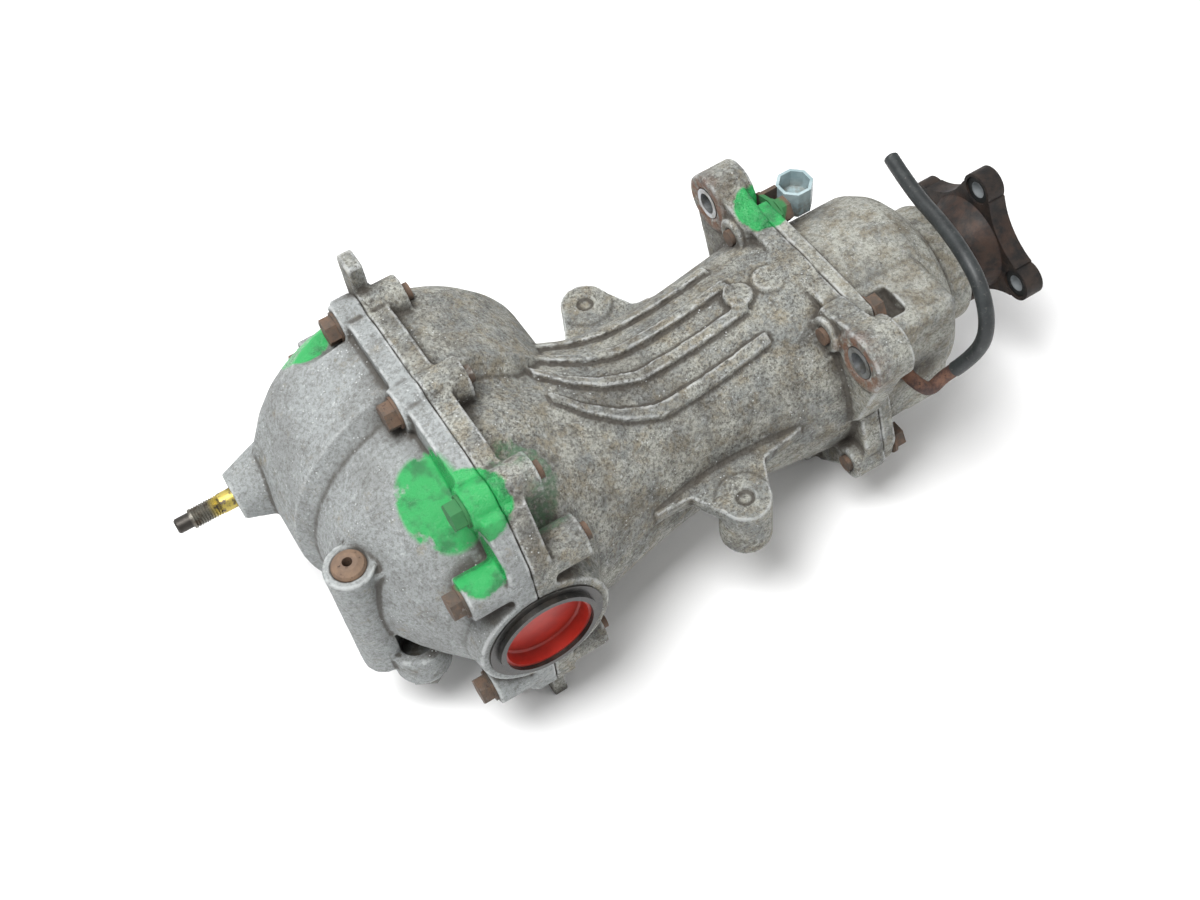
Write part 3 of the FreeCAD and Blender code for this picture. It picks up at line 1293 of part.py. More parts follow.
def pinion_fittings():
    tail_end = "pinion_back + height_shim + tail_wide"
    tapered_bearing(
        "pinion_rear_bearing", "tail_shaft_rad", "tail_cup_rad", "tail_wide", 14, "-X", on_pinion(tail_end),
        ("pinion_rear_bearing_inner", "pinion_rear_bearing_rollers", "pinion_rear_bearing_outer"),
    )
    tapered_bearing(
        "pinion_front_bearing", "nose_shaft_rad", "nose_cup_rad", "nose_wide", 12, "X", on_pinion("nose_x"),
        ("pinion_front_bearing_inner", "pinion_front_bearing_rollers", "pinion_front_bearing_outer"),
    )
    node("pinion_height_shim", ring(
        "height_shim_ring", "tail_shaft_rad", "tail_shaft_rad + 6", "height_shim", "X",
        on_pinion("pinion_back")))
    sleeve_in = "nose_shaft_rad + free_gap"
    sleeve_out = f"{sleeve_in} + crush_wall"
    middle = f"({tail_end} + nose_x) / 2"
    node("pinion_spacer", turned("crush_sleeve", [
        (tail_end, sleeve_in),
        ("nose_x", sleeve_in),
        ("nose_x", sleeve_out),
        (f"{middle} + 8", sleeve_out),
        (f"{middle} + 3", f"{sleeve_out} + 2"),
        (f"{middle} - 3", f"{sleeve_out} + 2"),
        (f"{middle} - 8", sleeve_out),
        (tail_end, sleeve_out),
    ], "X", on_pinion()))
    node("pinion_nut", bored_nut("pinion_nut_body", "pinion_nut_half", "pinion_nut_high", "nose_shaft_rad",
                                 on_pinion("nose_x + nose_wide")))
    node("centre_oil_seal", lip_seal("centre_seal", "stub_rad + 1 + fit_gap", "centre_seal_rad", "wall_thick",
                                     "X", on_pinion("wall_x")))


# Coupling between the propeller shaft and the pinion


def coupling():
    flange_face = "-axle_x"
    shaft_end = f"{flange_face} - recess_deep"
    bearing_end = "input_bearing_x + input_wide"
    node("coupling_drum", turned("drum_and_shaft", [
        ("cup_rear", "cup_rad - cup_thick"),
        ("cup_front - cup_thick", "cup_rad - cup_thick"),
        ("cup_front - cup_thick", "0"),
        (f"{shaft_end} + input_thread_long", "0"),
        (f"{shaft_end} + input_thread_long", "input_thread_rad"),
        (shaft_end, "input_thread_rad"),
        (shaft_end, "input_spline_rad"),
        (bearing_end, "input_spline_rad"),
        (bearing_end, "input_rad"),
        ("input_bearing_x", "input_rad"),
        ("input_bearing_x", "input_collar_rad"),
        ("cup_front", "input_collar_rad"),
        ("cup_front", "cup_rad"),
        ("cup_rear", "cup_rad"),
    ], "X", on_pinion()))
    node("coupling_hub", turned("clutch_hub", [
        ("hub_start", "stub_rad"),
        ("hub_start", "hub_neck_rad"),
        ("plate_first - 4", "hub_neck_rad"),
        ("plate_first - 4", "hub_rad"),
        ("stub_end - 4", "hub_rad"),
        ("stub_end - 4", "stub_rad"),
    ], "X", on_pinion()))
    pitch = "2 * (plate_thick + free_gap)"
    count = int(size("plate_count"))
    node("coupling_plates", group("drum_plates", [
        ring(f"drum_plate_{i}", "plate_hole", "cup_rad - cup_thick", "plate_thick", "X",
             on_pinion(f"plate_first + {i} * {pitch}"))
        for i in range(count)
    ]))
    node("coupling_discs", group("hub_discs", [
        ring(f"hub_disc_{i}", "hub_rad", "disc_rad", "plate_thick", "X",
             on_pinion(f"plate_first + ({i} + 0.5) * {pitch}"))
        for i in range(count - 1)
    ]))
    node("coupling_coil", turned("magnet_coil", [
        ("coil_x", "coil_hole"),
        ("coil_x", "coil_slot_in"),
        ("coil_x + coil_slot_deep", "coil_slot_in"),
        ("coil_x + coil_slot_deep", "coil_slot_out"),
        ("coil_x", "coil_slot_out"),
        ("coil_x", "coil_rad"),
        ("chamber_front", "coil_rad"),
        ("chamber_front", "coil_hole"),
    ], "X", on_pinion()))
    node("front_oil_seal", lip_seal("front_seal", "flange_hub + fit_gap", "front_seal_rad", "front_seal_wide",
                                    "-X", on_pinion("snout_end")))


def input_bearing():
    where = on_pinion("input_bearing_x")
    middle = on_pinion("input_bearing_x + input_wide / 2")
    pitch = "(input_rad + input_cup_rad) / 2"
    groove = doc.addObject("Part::Torus", "ball_groove")
    place(bind(groove, Radius1=pitch, Radius2="ball_rad + free_gap"), Z_TO["X"], middle)
    races = (
        ("inner", "input_rad", "input_rad + race_wall"),
        ("outer", "input_cup_rad - race_wall", "input_cup_rad"),
    )
    for side, inside, outside in races:
        blank = ring(f"input_race_{side}", inside, outside, "input_wide", "X", where)
        node(f"input_bearing_{side}", cut(f"input_bearing_{side}_cut", blank, [groove]))
    count = int(size("ball_count"))
    cage = ring("ball_cage", f"{pitch} - 1", f"{pitch} + 1", "ball_rad", "X",
                on_pinion("input_bearing_x + (input_wide - ball_rad) / 2"))
    balls = [cage]
    for i in range(count):
        turn = f"{i * 360 / count} deg"
        ball = doc.addObject("Part::Sphere", f"ball_{i + 1}")
        bind(ball, Radius="ball_rad")
        x, _, _ = middle
        balls.append(place(ball, Rotation(), (x, f"{pitch} * cos({turn})", f"{pitch} * sin({turn})")))
    node("input_bearing_balls", fuse("caged_balls", balls))


def companion_flange():
    hub = turned("flange_hub_body", [
        ("axle_x + input_bearing_x + input_wide", "0"),
        ("axle_x + input_bearing_x + input_wide", "flange_hub"),
        ("-flange_thick - hub_cone", "flange_hub"),
        ("-flange_thick - hub_cone / 3", "flange_hub_wide - 4"),
        ("-flange_thick", "flange_hub_wide"),
        ("-1", "flange_hub_wide"),
        ("-1", "0"),
    ], "X", ("0", "0", "0"))
    disc = cylinder("flange_disc", "flange_circle", "flange_thick", "-X", ("0", "0", "0"))
    hollows, arms, holes = [], [], []
    step = 360 / size("flange_count")
    for i in range(int(size("flange_count"))):
        at_arm = f"{i * step} deg"
        between = f"{(i + 0.5) * step} deg"
        arm_y, arm_z = f"flange_circle * cos({at_arm})", f"flange_circle * sin({at_arm})"
        hollows.append(cylinder(
            f"flange_hollow_{i + 1}", "waist_cut_rad", "2 * flange_thick", "-X",
            ("flange_thick / 2", f"waist_cut_reach * cos({between})", f"waist_cut_reach * sin({between})")))
        arms.append(cylinder(f"flange_arm_{i + 1}", "arm_rad", "flange_thick", "-X", ("0", arm_y, arm_z)))
        holes.append(cylinder(f"flange_hole_{i + 1}", "flange_hole", "2 * flange_thick", "-X",
                              ("flange_thick / 2", arm_y, arm_z)))
        holes.append(cylinder(f"flange_spot_{i + 1}", "spot_rad", "flange_thick", "-X",
                              ("spot_deep - flange_thick", arm_y, arm_z)))
    recess = cylinder("nut_recess", "recess_rad", "recess_deep", "-X", ("0", "0", "0"))
    spline = cylinder("flange_bore", "input_spline_rad", "-axle_x", "-X", ("0", "0", "0"))
    star = cut("flange_star", disc, hollows)
    node("companion_flange", cut("flange_body", fuse("flange_solid", [hub, star] + arms),
                                 [recess, spline] + holes))
    node("flange_nut", bored_nut("flange_nut_body", "flange_nut_half", "flange_nut_high", "input_thread_rad",
                                 ("-recess_deep", "0", "0")))


# Fasteners


def flanged_bolt(name, length, head_axis, seat):
    """A hexagon bolt along X. Its head rests on the seat and stands out along head_axis."""
    x, y, z = seat
    sign, shank_axis = ("+", "-X") if head_axis == "X" else ("-", "X")
    return fuse(name, [
        cylinder(name + "_shank", "case_bolt_rad", length, shank_axis, seat),
        cylinder(name + "_collar", "hex_collar_rad", "hex_collar", head_axis, seat),
        prism(name + "_head", 6, "hex_half", "hex_high", head_axis, (f"{x} {sign} hex_collar", y, z)),
    ])


def case_bolts():
    kinds = (
        ("short", SHORT_BOLTS, "bolt_boss_rear", "bolt_boss_front"),
        ("long", LONG_BOLTS, "long_boss_rear", "long_boss_front"),
    )
    for kind, places, rear, front in kinds:
        node(f"cover_bolts_{kind}", group(f"{kind}_bolts", [
            flanged_bolt(f"{kind}_bolt_{i}", f"{rear} + {front} + case_bolt_tip", "-X",
                         at_axle(f"-{rear}", y, z))
            for i, (y, z) in enumerate(places, start=1)
        ]))


def joint_bolts():
    bolts = []
    for i, (y, z) in enumerate(JOINT_BOLTS, start=1):
        under = "joint_flange + bracket_thick" if (y, z) == BRACKET_BOLT else "joint_flange"
        bolts.append(flanged_bolt(f"joint_bolt_{i}", f"joint_boss + joint_bolt_tip + {under}", "X",
                                  on_pinion(f"joint_x + {under}", y, z)))
    node("coupling_housing_bolts", group("joint_bolts", bolts))


# Mount hardware, plugs, connector and breather


def screw_plug(name, axis, seat, turned_to):
    """A hexagon plug whose collar rests on the seat; turned_to is the axis that its thread follows."""
    x, y, z = seat
    sign = "+" if len(axis) == 1 else "-"
    lifted = {
        "X": (f"{x} {sign} plug_collar", y, z),
        "Y": (x, f"{y} {sign} plug_collar", z),
        "Z": (x, y, f"{z} {sign} plug_collar"),
    }[axis[-1]]
    return fuse(name, [
        cylinder(name + "_thread", "plug_rad", "plug_long", turned_to, seat),
        cylinder(name + "_collar", "plug_collar_rad", "plug_collar", axis, seat),
        prism(name + "_head", 6, "plug_half", "plug_high", axis, lifted),
    ])


def mount_hardware():
    for side, sign in SIDES:
        node(f"mount_sleeve_{side}", ring(
            f"lug_sleeve_{side}", "sleeve_hole", "sleeve_rad", "lug_deep", "X",
            at_axle("lug_face", f"{sign} * lug_y", "lug_z")))
    node("mount_stud", turned("stud", [
        ("-stud_in", "0"),
        ("-stud_in", "stud_root_rad"),
        ("0", "stud_root_rad"),
        ("0", "stud_rad"),
        ("stud_out - stud_tip_long", "stud_rad"),
        ("stud_out - stud_tip_long", "stud_tip_rad"),
        ("stud_out - 1", "stud_tip_rad"),
        ("stud_out", "stud_tip_rad - 1"),
        ("stud_out", "0"),
    ], "-X", at_axle("stud_face", "stud_y", "stud_z")))
    node("boss_insert", turned("insert", [
        ("-insert_deep", "insert_hole"),
        ("-insert_deep", "insert_rad"),
        ("0", "insert_rad"),
        ("insert_proud / 2", "insert_rad - 1"),
        ("insert_proud", "insert_rad - 4"),
        ("insert_proud", "insert_hole"),
    ], "Z", at_axle("insert_x", "insert_y", "insert_top")))
    node("drain_plug", screw_plug("drain", "-Z", at_axle("drain_x", "drain_y", "drain_face"), "Z"))
    filler_seat = at_axle("filler_x", "mid_y + filler_face", "filler_z")
    node("filler_plug", screw_plug("filler", "Y", filler_seat, "-Y"))


def connector():
    """The coupling's socket, which opens upwards, on a strap held by one of the joint bolts."""
    socket = on_pinion("socket_x", "socket_y", "socket_top")
    pocket = prism("socket_pocket", 8, "socket_half - socket_wall", "socket_deep", "-Z", socket)
    shell = prism("socket_shell", 8, "socket_half", "socket_high", "-Z", socket)
    boot = cylinder("socket_boot", "boot_rad", "socket_high + boot_high", "-Z", socket)
    node("connector", cut("connector_body", fuse("connector_solid", [shell, boot]), [pocket]))
    bolt_y, bolt_z = BRACKET_BOLT
    foot = plate("bracket_foot", [
        (f"{bolt_y} - bracket_ear", f"{bolt_z} + bracket_ear - 2"),
        (f"{bolt_y} - bracket_ear + 1", f"{bolt_z} - bracket_ear + 1"),
        (f"{bolt_y} + bracket_ear + 1", f"{bolt_z} - bracket_ear + 2"),
        ("socket_y + socket_half / 2", "socket_top - bracket_arm - 1"),
        ("socket_y + socket_half / 2", "socket_top + 1"),
        (f"{bolt_y} + bracket_ear / 2", f"{bolt_z} + bracket_ear + 1"),
    ], "bracket_thick", "YZ", on_pinion("joint_x + joint_flange"))
    arm = box("bracket_arm", "socket_x - socket_half - joint_x - joint_flange", "bracket_thick",
              "bracket_arm", on_pinion("joint_x + joint_flange",
                                       "socket_y + socket_half / 2 - bracket_thick",
                                       "socket_top - bracket_arm"))
    hole = cylinder("bracket_hole", "case_bolt_rad", "3 * bracket_thick", "X",
                    on_pinion("joint_x + joint_flange - bracket_thick", bolt_y, bolt_z))
    node("connector_bracket", cut("bracket", fuse("bracket_solid", [foot, arm]), [hole]))


def rounded_route(points):
    """Straight runs joined by tangent arcs, with the radius of each arc."""
    runs = [b - a for a, b in zip(points, points[1:])]
    edges, radii = [], []
    start = points[0]
    for i in range(1, len(points) - 1):
        before, after = runs[i - 1], runs[i]
        half = before.getAngle(after) / 2
        trim = 0.45 * min(before.Length, after.Length)
        first = points[i] - before.normalize() * trim
        last = points[i] + Vector(after).normalize() * trim
        radius = trim / math.tan(half)
        bisector = (first + last) * 0.5 - points[i]
        middle = points[i] + bisector.normalize() * (radius / math.cos(half) - radius)
        edges.append(Part.LineSegment(start, first).toShape())
        edges.append(Part.Arc(first, middle, last).toShape())
        radii.append(radius)
        start = last
        runs[i] = points[i + 1] - points[i]
    edges.append(Part.LineSegment(start, points[-1]).toShape())
    return Part.Wire(edges), radii


def tube(points, outer, inner):
    """A hollow tube along a route given from the axle line."""
    route, radii = rounded_route([Vector(*point) for point in points])
    heading = Vector(*points[1]) - Vector(*points[0])
    skins = []
    for radius in (size(outer), size(inner)):
        mouth = Part.Wire(Part.makeCircle(radius, Vector(*points[0]), heading))
        skins.append(route.makePipeShell([mouth], True, False))
    return skins[0].cut(skins[1]), route.Length, radii


def breather():
    pipe, _, _ = tube(PIPE_ROUTE, "pipe_rad", "pipe_bore")
    hose, length, radii = tube(HOSE_ROUTE, "hose_rad", "hose_bore")
    place(node("breather_pipe", shaped("breather_pipe_body", pipe)), Rotation(), at_axle())
    place(node("breather_hose", shaped("breather_hose_body", hose)), Rotation(), at_axle())
    section = math.pi * size("hose_rad ^ 2 - hose_bore ^ 2")
    print(f"hose length {length:.1f} mm, volume {hose.Volume:.0f}, section by length {section * length:.0f}")
    print("hose radii", [round(radius, 1) for radius in radii])


rear_cover()
carrier_housing()
coupling_housing()
side_bearings()
axle_seals()
differential_gears()
differential_case()
ring_gear()
drive_pinion()
pinion_fittings()
coupling()
input_bearing()
companion_flange()
case_bolts()
joint_bolts()
mount_hardware()
connector()
breather()

doc.recompute()

for item in doc.Objects:
    if "Invalid" in item.State or "Error" in item.State:
        raise RuntimeError(f"{item.Name} did not compute: {item.State}")

os.makedirs("parts", exist_ok=True)
for name, item in sorted(NODES.items()):
    shape = item.Shape
    if shape.isNull() or not shape.isValid() or not shape.Solids:
        raise RuntimeError(f"{name} has no sound shape")
    shape.exportStep(f"parts/{name}.step")
    print(f"{name}: {len(shape.Solids)} solids, {shape.Volume / 1000:.1f} cm3")
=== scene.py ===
import json
import math

import bmesh
import bpy
from mathutils import Euler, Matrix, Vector, noise


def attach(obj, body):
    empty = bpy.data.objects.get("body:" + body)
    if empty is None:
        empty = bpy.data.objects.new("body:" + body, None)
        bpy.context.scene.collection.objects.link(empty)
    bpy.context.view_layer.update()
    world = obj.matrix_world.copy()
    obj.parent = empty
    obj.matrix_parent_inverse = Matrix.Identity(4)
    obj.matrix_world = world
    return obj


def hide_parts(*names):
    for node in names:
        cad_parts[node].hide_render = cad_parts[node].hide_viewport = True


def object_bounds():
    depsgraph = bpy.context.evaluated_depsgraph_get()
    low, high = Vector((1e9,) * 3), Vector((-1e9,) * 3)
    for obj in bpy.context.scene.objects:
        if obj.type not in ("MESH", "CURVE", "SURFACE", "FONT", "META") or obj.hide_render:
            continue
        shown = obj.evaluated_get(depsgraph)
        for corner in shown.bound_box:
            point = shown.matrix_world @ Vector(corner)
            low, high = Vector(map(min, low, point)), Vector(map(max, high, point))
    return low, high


# The photograph's view of a rear differential. Lengths are in metres, in the part's own frame:
# the origin is the centre of the companion flange's front face, +X forward, +Y left, +Z up.

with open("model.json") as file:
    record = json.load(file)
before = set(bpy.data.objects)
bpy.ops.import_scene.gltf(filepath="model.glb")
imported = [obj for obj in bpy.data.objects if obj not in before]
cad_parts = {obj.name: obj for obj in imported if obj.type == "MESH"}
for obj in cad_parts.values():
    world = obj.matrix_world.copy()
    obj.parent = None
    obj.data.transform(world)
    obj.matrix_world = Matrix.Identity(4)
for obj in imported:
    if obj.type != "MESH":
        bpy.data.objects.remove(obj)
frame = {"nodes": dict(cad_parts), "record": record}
cad_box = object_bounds()

# Camera of the photograph
CAMERA_PLACE = (-0.4824, -0.4499, 0.6995)
CAMERA_TURN = (34.709, 5.134, -31.559)
CAMERA_LENS = 44.61
SENSOR = 36.0

# Places that colours and details are tied to
AXLE = Vector((-0.369, 0.0, 0.020))
MM = 0.001


def at_axle(x, y, z):
    """A place given in millimetres from the axle line, as the part's sizes are."""
    return AXLE + Vector((x, y, z)) * MM


# Node helpers


class Graph:
    """A material's node tree, with a short way to add and join nodes."""

    def __init__(self, name):
        self.material = bpy.data.materials.new(name)
        self.material.use_nodes = True
        self.tree = self.material.node_tree
        self.tree.nodes.clear()
        self.shader = self.add("ShaderNodeBsdfPrincipled")
        output = self.add("ShaderNodeOutputMaterial")
        self.join(self.shader.outputs[0], output.inputs["Surface"])
        self.place = self.add("ShaderNodeTexCoord").outputs["Object"]

    def add(self, kind, **settings):
        item = self.tree.nodes.new(kind)
        for key, value in settings.items():
            setattr(item, key, value)
        return item

    def join(self, source, target):
        self.tree.links.new(source, target)

    def feed(self, socket, value):
        if isinstance(value, bpy.types.NodeSocket):
            self.join(value, socket)
        else:
            socket.default_value = value

    def noise(self, scale, detail=4.0, rough=0.6):
        item = self.add("ShaderNodeTexNoise")
        self.join(self.place, item.inputs["Vector"])
        item.inputs["Scale"].default_value = scale
        item.inputs["Detail"].default_value = detail
        item.inputs["Roughness"].default_value = rough
        return item.outputs["Fac"]

    def cells(self, scale, feature="F1"):
        item = self.add("ShaderNodeTexVoronoi", feature=feature)
        self.join(self.place, item.inputs["Vector"])
        item.inputs["Scale"].default_value = scale
        return item.outputs["Distance"]

    def step(self, value, low, high):
        """0 below low, 1 above high, and a smooth change between them."""
        item = self.add("ShaderNodeMapRange", interpolation_type="SMOOTHSTEP")
        item.inputs["From Min"].default_value = low
        item.inputs["From Max"].default_value = high
        self.feed(item.inputs["Value"], value)
        return item.outputs["Result"]

    def sum(self, kind, first, second):
        """Two values joined by a sum, a difference, a product or the larger of both."""
        item = self.add("ShaderNodeMath", operation=kind, use_clamp=kind not in ("SUBTRACT", "ADD"))
        self.feed(item.inputs[0], first)
        self.feed(item.inputs[1], second)
        return item.outputs[0]

    def blend(self, share, first, second):
        """The first colour where share is 0 and the second where it is 1."""
        item = self.add("ShaderNodeMix", data_type="RGBA")
        self.feed(item.inputs["Factor"], share)
        for index, colour in ((6, first), (7, second)):
            self.feed(item.inputs[index], (*colour, 1.0) if isinstance(colour, tuple) else colour)
        return item.outputs[2]

    def near(self, centre, radius, soft, stretch=(1.0, 1.0, 1.0), ragged=0.0, scale=120.0):
        """1 within a radius of a place and 0 beyond radius + soft, with a ragged edge."""
        shift = self.add("ShaderNodeVectorMath", operation="SUBTRACT")
        self.join(self.place, shift.inputs[0])
        shift.inputs[1].default_value = centre
        squeeze = self.add("ShaderNodeVectorMath", operation="DIVIDE")
        self.join(shift.outputs[0], squeeze.inputs[0])
        squeeze.inputs[1].default_value = stretch
        length = self.add("ShaderNodeVectorMath", operation="LENGTH")
        self.join(squeeze.outputs[0], length.inputs[0])
        distance = length.outputs["Value"]
        if ragged:
            wobble = self.sum("MULTIPLY", self.sum("SUBTRACT", self.noise(scale, 5.0), 0.5), ragged)
            distance = self.sum("ADD", distance, wobble)
        return self.step(distance, radius + soft, radius)

    def axis(self, name):
        item = self.add("ShaderNodeSeparateXYZ")
        self.join(self.place, item.inputs[0])
        return item.outputs[name]

    def edges(self, reach):
        """1 in hollows and 0 in the open, from ambient occlusion: the mask for painted shade."""
        item = self.add("ShaderNodeAmbientOcclusion", samples=8)
        item.inputs["Distance"].default_value = reach
        return self.sum("SUBTRACT", 1.0, item.outputs["AO"])

    def finish(self, colour, rough, metal=0.0, bump=None, depth=0.0005, strength=0.5):
        """Feed the surface, with a bump of the given depth in metres."""
        self.feed(self.shader.inputs["Base Color"], colour)
        self.feed(self.shader.inputs["Roughness"], rough)
        self.feed(self.shader.inputs["Metallic"], metal)
        if bump is not None:
            item = self.add("ShaderNodeBump")
            item.inputs["Strength"].default_value = strength
            item.inputs["Distance"].default_value = depth
            self.feed(item.inputs["Height"], bump)
            self.join(item.outputs["Normal"], self.shader.inputs["Normal"])
        return self.material


# Places of paint, rust and the stud

GREEN_PATCH = at_axle(-21, -42, 72)
GREEN_BOSS = at_axle(-12, -66, 92)
GREEN_SEAM = at_axle(-20, -79, 60)
GREEN_SPRAY = at_axle(22, -54, 70)
GREEN_FAR_BOLT = at_axle(-34, 89, 68)
GREEN_JOINT = at_axle(233, 45, 47)
LUG_FACES = (at_axle(214, 73, 40), at_axle(214, -73, 40))
LUG_RUST = 0.013
SOCKET_CLEAN = 0.058
SOCKET_DIRTY = 0.046
STUD_SEAT = at_axle(-104, 74, 3)
ZINC_FULL = STUD_SEAT.x - 0.010
ZINC_END = STUD_SEAT.x - 0.016
TIP_START = STUD_SEAT.x - 0.025
TIP_FULL = STUD_SEAT.x - 0.027
FLANGE_MIDDLE = -0.006
FLANGE_CIRCLE = 0.0435
HUB_RUST = 0.024
HOLE_BORE = 0.0056
HOLE_RIM = 0.0094
FLANGE_HOLES = [
    (FLANGE_MIDDLE, FLANGE_CIRCLE * math.cos(turn), FLANGE_CIRCLE * math.sin(turn))
    for turn in map(math.radians, (0, 90, 180, 270))
]

# Colours

PALE_GREY = (0.385, 0.388, 0.345)
COOL_GREY = (0.225, 0.236, 0.226)
TAN_DIRT = (0.275, 0.24, 0.17)
# Dark dirt for the specks and stains, and the colour of the painted shade in creases, hollows and
# corners
DARK_DIRT_AND_SHADE = (0.055, 0.047, 0.038)
OXIDE = (0.62, 0.64, 0.64)
RUST = (0.17, 0.065, 0.026)
RUST_DARK = (0.05, 0.028, 0.02)
BRIGHT_GREEN = (0.022, 0.335, 0.085)
DEEP_GREEN = (0.016, 0.17, 0.05)
DULL_GREEN = (0.075, 0.16, 0.085)


def paint_marks(g):
    """1 where green paint was brushed on round some of the bolts."""
    paint = g.near(GREEN_PATCH, 0.021, 0.003, (0.95, 1.25, 1.25), 0.030, 55.0)
    for place, radius in (
        (GREEN_BOSS, 0.0195), (GREEN_SEAM, 0.0145), (GREEN_FAR_BOLT, 0.015), (GREEN_JOINT, 0.0155),
    ):
        paint = g.sum("MAXIMUM", paint, g.near(place, radius, 0.002, ragged=0.010, scale=90.0))
    return paint


def cast_aluminium(name, pale, tan, dark, pale_tint=PALE_GREY):
    """Weathered casting: grey metal, tan dirt, dark specks, white oxide, green paint marks, and painted
    shade in creases and hollows.
    """
    g = Graph(name)
    broad = g.noise(48.0, 9.0, 0.76)
    medium = g.noise(85.0, 9.0, 0.78)
    colour = g.blend(g.step(broad, 0.42 - pale, 0.60 - pale), COOL_GREY, pale_tint)
    colour = g.blend(g.sum("MULTIPLY", g.step(medium, 0.50 - tan, 0.66 - tan), 0.8), colour, TAN_DIRT)
    chalk = g.step(g.noise(300.0, 8.0, 0.82), 0.54, 0.64)
    colour = g.blend(g.sum("MULTIPLY", chalk, 0.40), colour, OXIDE)
    mottle = g.step(g.noise(480.0, 8.0, 0.82), 0.47, 0.58)
    colour = g.blend(g.sum("MULTIPLY", mottle, 0.60 + dark), colour, DARK_DIRT_AND_SHADE)
    blotches = g.step(g.noise(21.0, 8.0, 0.74), 0.47, 0.63)
    colour = g.blend(g.sum("MULTIPLY", blotches, 0.42 + dark), colour, DARK_DIRT_AND_SHADE)
    bend = g.add("ShaderNodeNewGeometry").outputs["Pointiness"]
    # Painted shade: darker where the surface bends inward, in creases and corners
    crease_shade = g.step(bend, 0.500, 0.480)
    colour = g.blend(g.sum("MULTIPLY", crease_shade, 0.82), colour, DARK_DIRT_AND_SHADE)
    ridge = g.sum("MULTIPLY", g.step(bend, 0.506, 0.535), g.step(g.noise(110.0, 5.0, 0.7), 0.40, 0.56))
    colour = g.blend(g.sum("MULTIPLY", ridge, 0.5), colour, OXIDE)
    # Painted shade: darker in hollows, from ambient occlusion, broken up by noise
    hollow = g.step(g.edges(0.016), 0.06, 0.42)
    hollow_shade = g.sum("MULTIPLY", hollow, g.step(g.noise(90.0, 5.0), 0.26, 0.55))
    colour = g.blend(g.sum("MULTIPLY", hollow_shade, 0.85), colour, DARK_DIRT_AND_SHADE)
    specks = g.step(g.noise(700.0, 4.0, 0.75), 0.57 - dark, 0.64 - dark)
    patches = g.step(g.noise(38.0, 4.0), 0.36, 0.56)
    colour = g.blend(g.sum("MULTIPLY", g.sum("MULTIPLY", specks, patches), 0.75), colour, DARK_DIRT_AND_SHADE)
    stains = g.step(g.noise(70.0, 9.0, 0.8), 0.54, 0.64)
    colour = g.blend(g.sum("MULTIPLY", stains, 0.55 + dark), colour, DARK_DIRT_AND_SHADE)
    flecks = g.sum("MULTIPLY", g.step(g.cells(330.0), 0.17, 0.09), g.step(g.noise(60.0), 0.50, 0.60))
    colour = g.blend(g.sum("MULTIPLY", flecks, 0.8), colour, OXIDE)
    for place in LUG_FACES:
        ring = g.near(place, LUG_RUST, 0.009, ragged=0.012)
        rust = g.sum("MULTIPLY", ring, g.step(g.noise(160.0), 0.35, 0.6))
        colour = g.blend(g.sum("MULTIPLY", rust, 0.8), colour, RUST)
    spray = g.near(GREEN_SPRAY, 0.026, 0.004, ragged=0.036, scale=70.0)
    spray = g.sum("MULTIPLY", spray, g.step(g.noise(260.0, 6.0, 0.75), 0.34, 0.60))
    colour = g.blend(g.sum("MULTIPLY", spray, 0.8), colour, DULL_GREEN)
    paint = paint_marks(g)
    shade = g.step(g.noise(90.0, 4.0, 0.6), 0.44, 0.66)
    colour = g.blend(paint, colour, g.blend(shade, BRIGHT_GREEN, DEEP_GREEN))
    rough = g.sum("SUBTRACT", 0.72, g.sum("MULTIPLY", paint, 0.60))
    grain = g.sum("ADD", g.sum("MULTIPLY", g.noise(900.0, 4.0, 0.7), 0.8), g.noise(220.0, 7.0, 0.7))
    pits = g.sum("SUBTRACT", grain, g.sum("MULTIPLY", specks, 0.35))
    metal = g.sum("MULTIPLY", g.sum("SUBTRACT", 1.0, paint), 0.15)
    return g.finish(colour, rough, metal, pits, 0.0012, 0.75)


def rusty_steel(name, rust, dark, shine):
    """Steel with brown rust over a darker skin, bare where it has rubbed."""
    g = Graph(name)
    colour = g.blend(g.step(g.noise(95.0, 6.0, 0.7), 0.40, 0.62), dark, rust)
    colour = g.blend(g.step(g.noise(420.0, 4.0, 0.7), 0.58, 0.70), colour, RUST_DARK)
    bare = g.sum("MULTIPLY", g.step(g.noise(60.0, 5.0, 0.7), 0.60, 0.70), shine)
    colour = g.blend(bare, colour, (0.34, 0.33, 0.31))
    rough = g.sum("SUBTRACT", 0.78, g.sum("MULTIPLY", bare, 0.35))
    colour = g.blend(g.sum("MULTIPLY", paint_marks(g), 0.85), colour, DEEP_GREEN)
    bump = g.sum("ADD", g.noise(260.0, 5.0, 0.7), g.sum("MULTIPLY", g.noise(1100.0, 2.0), 0.4))
    return g.finish(colour, rough, g.sum("MULTIPLY", bare, 0.8), bump, 0.0005, 0.6)


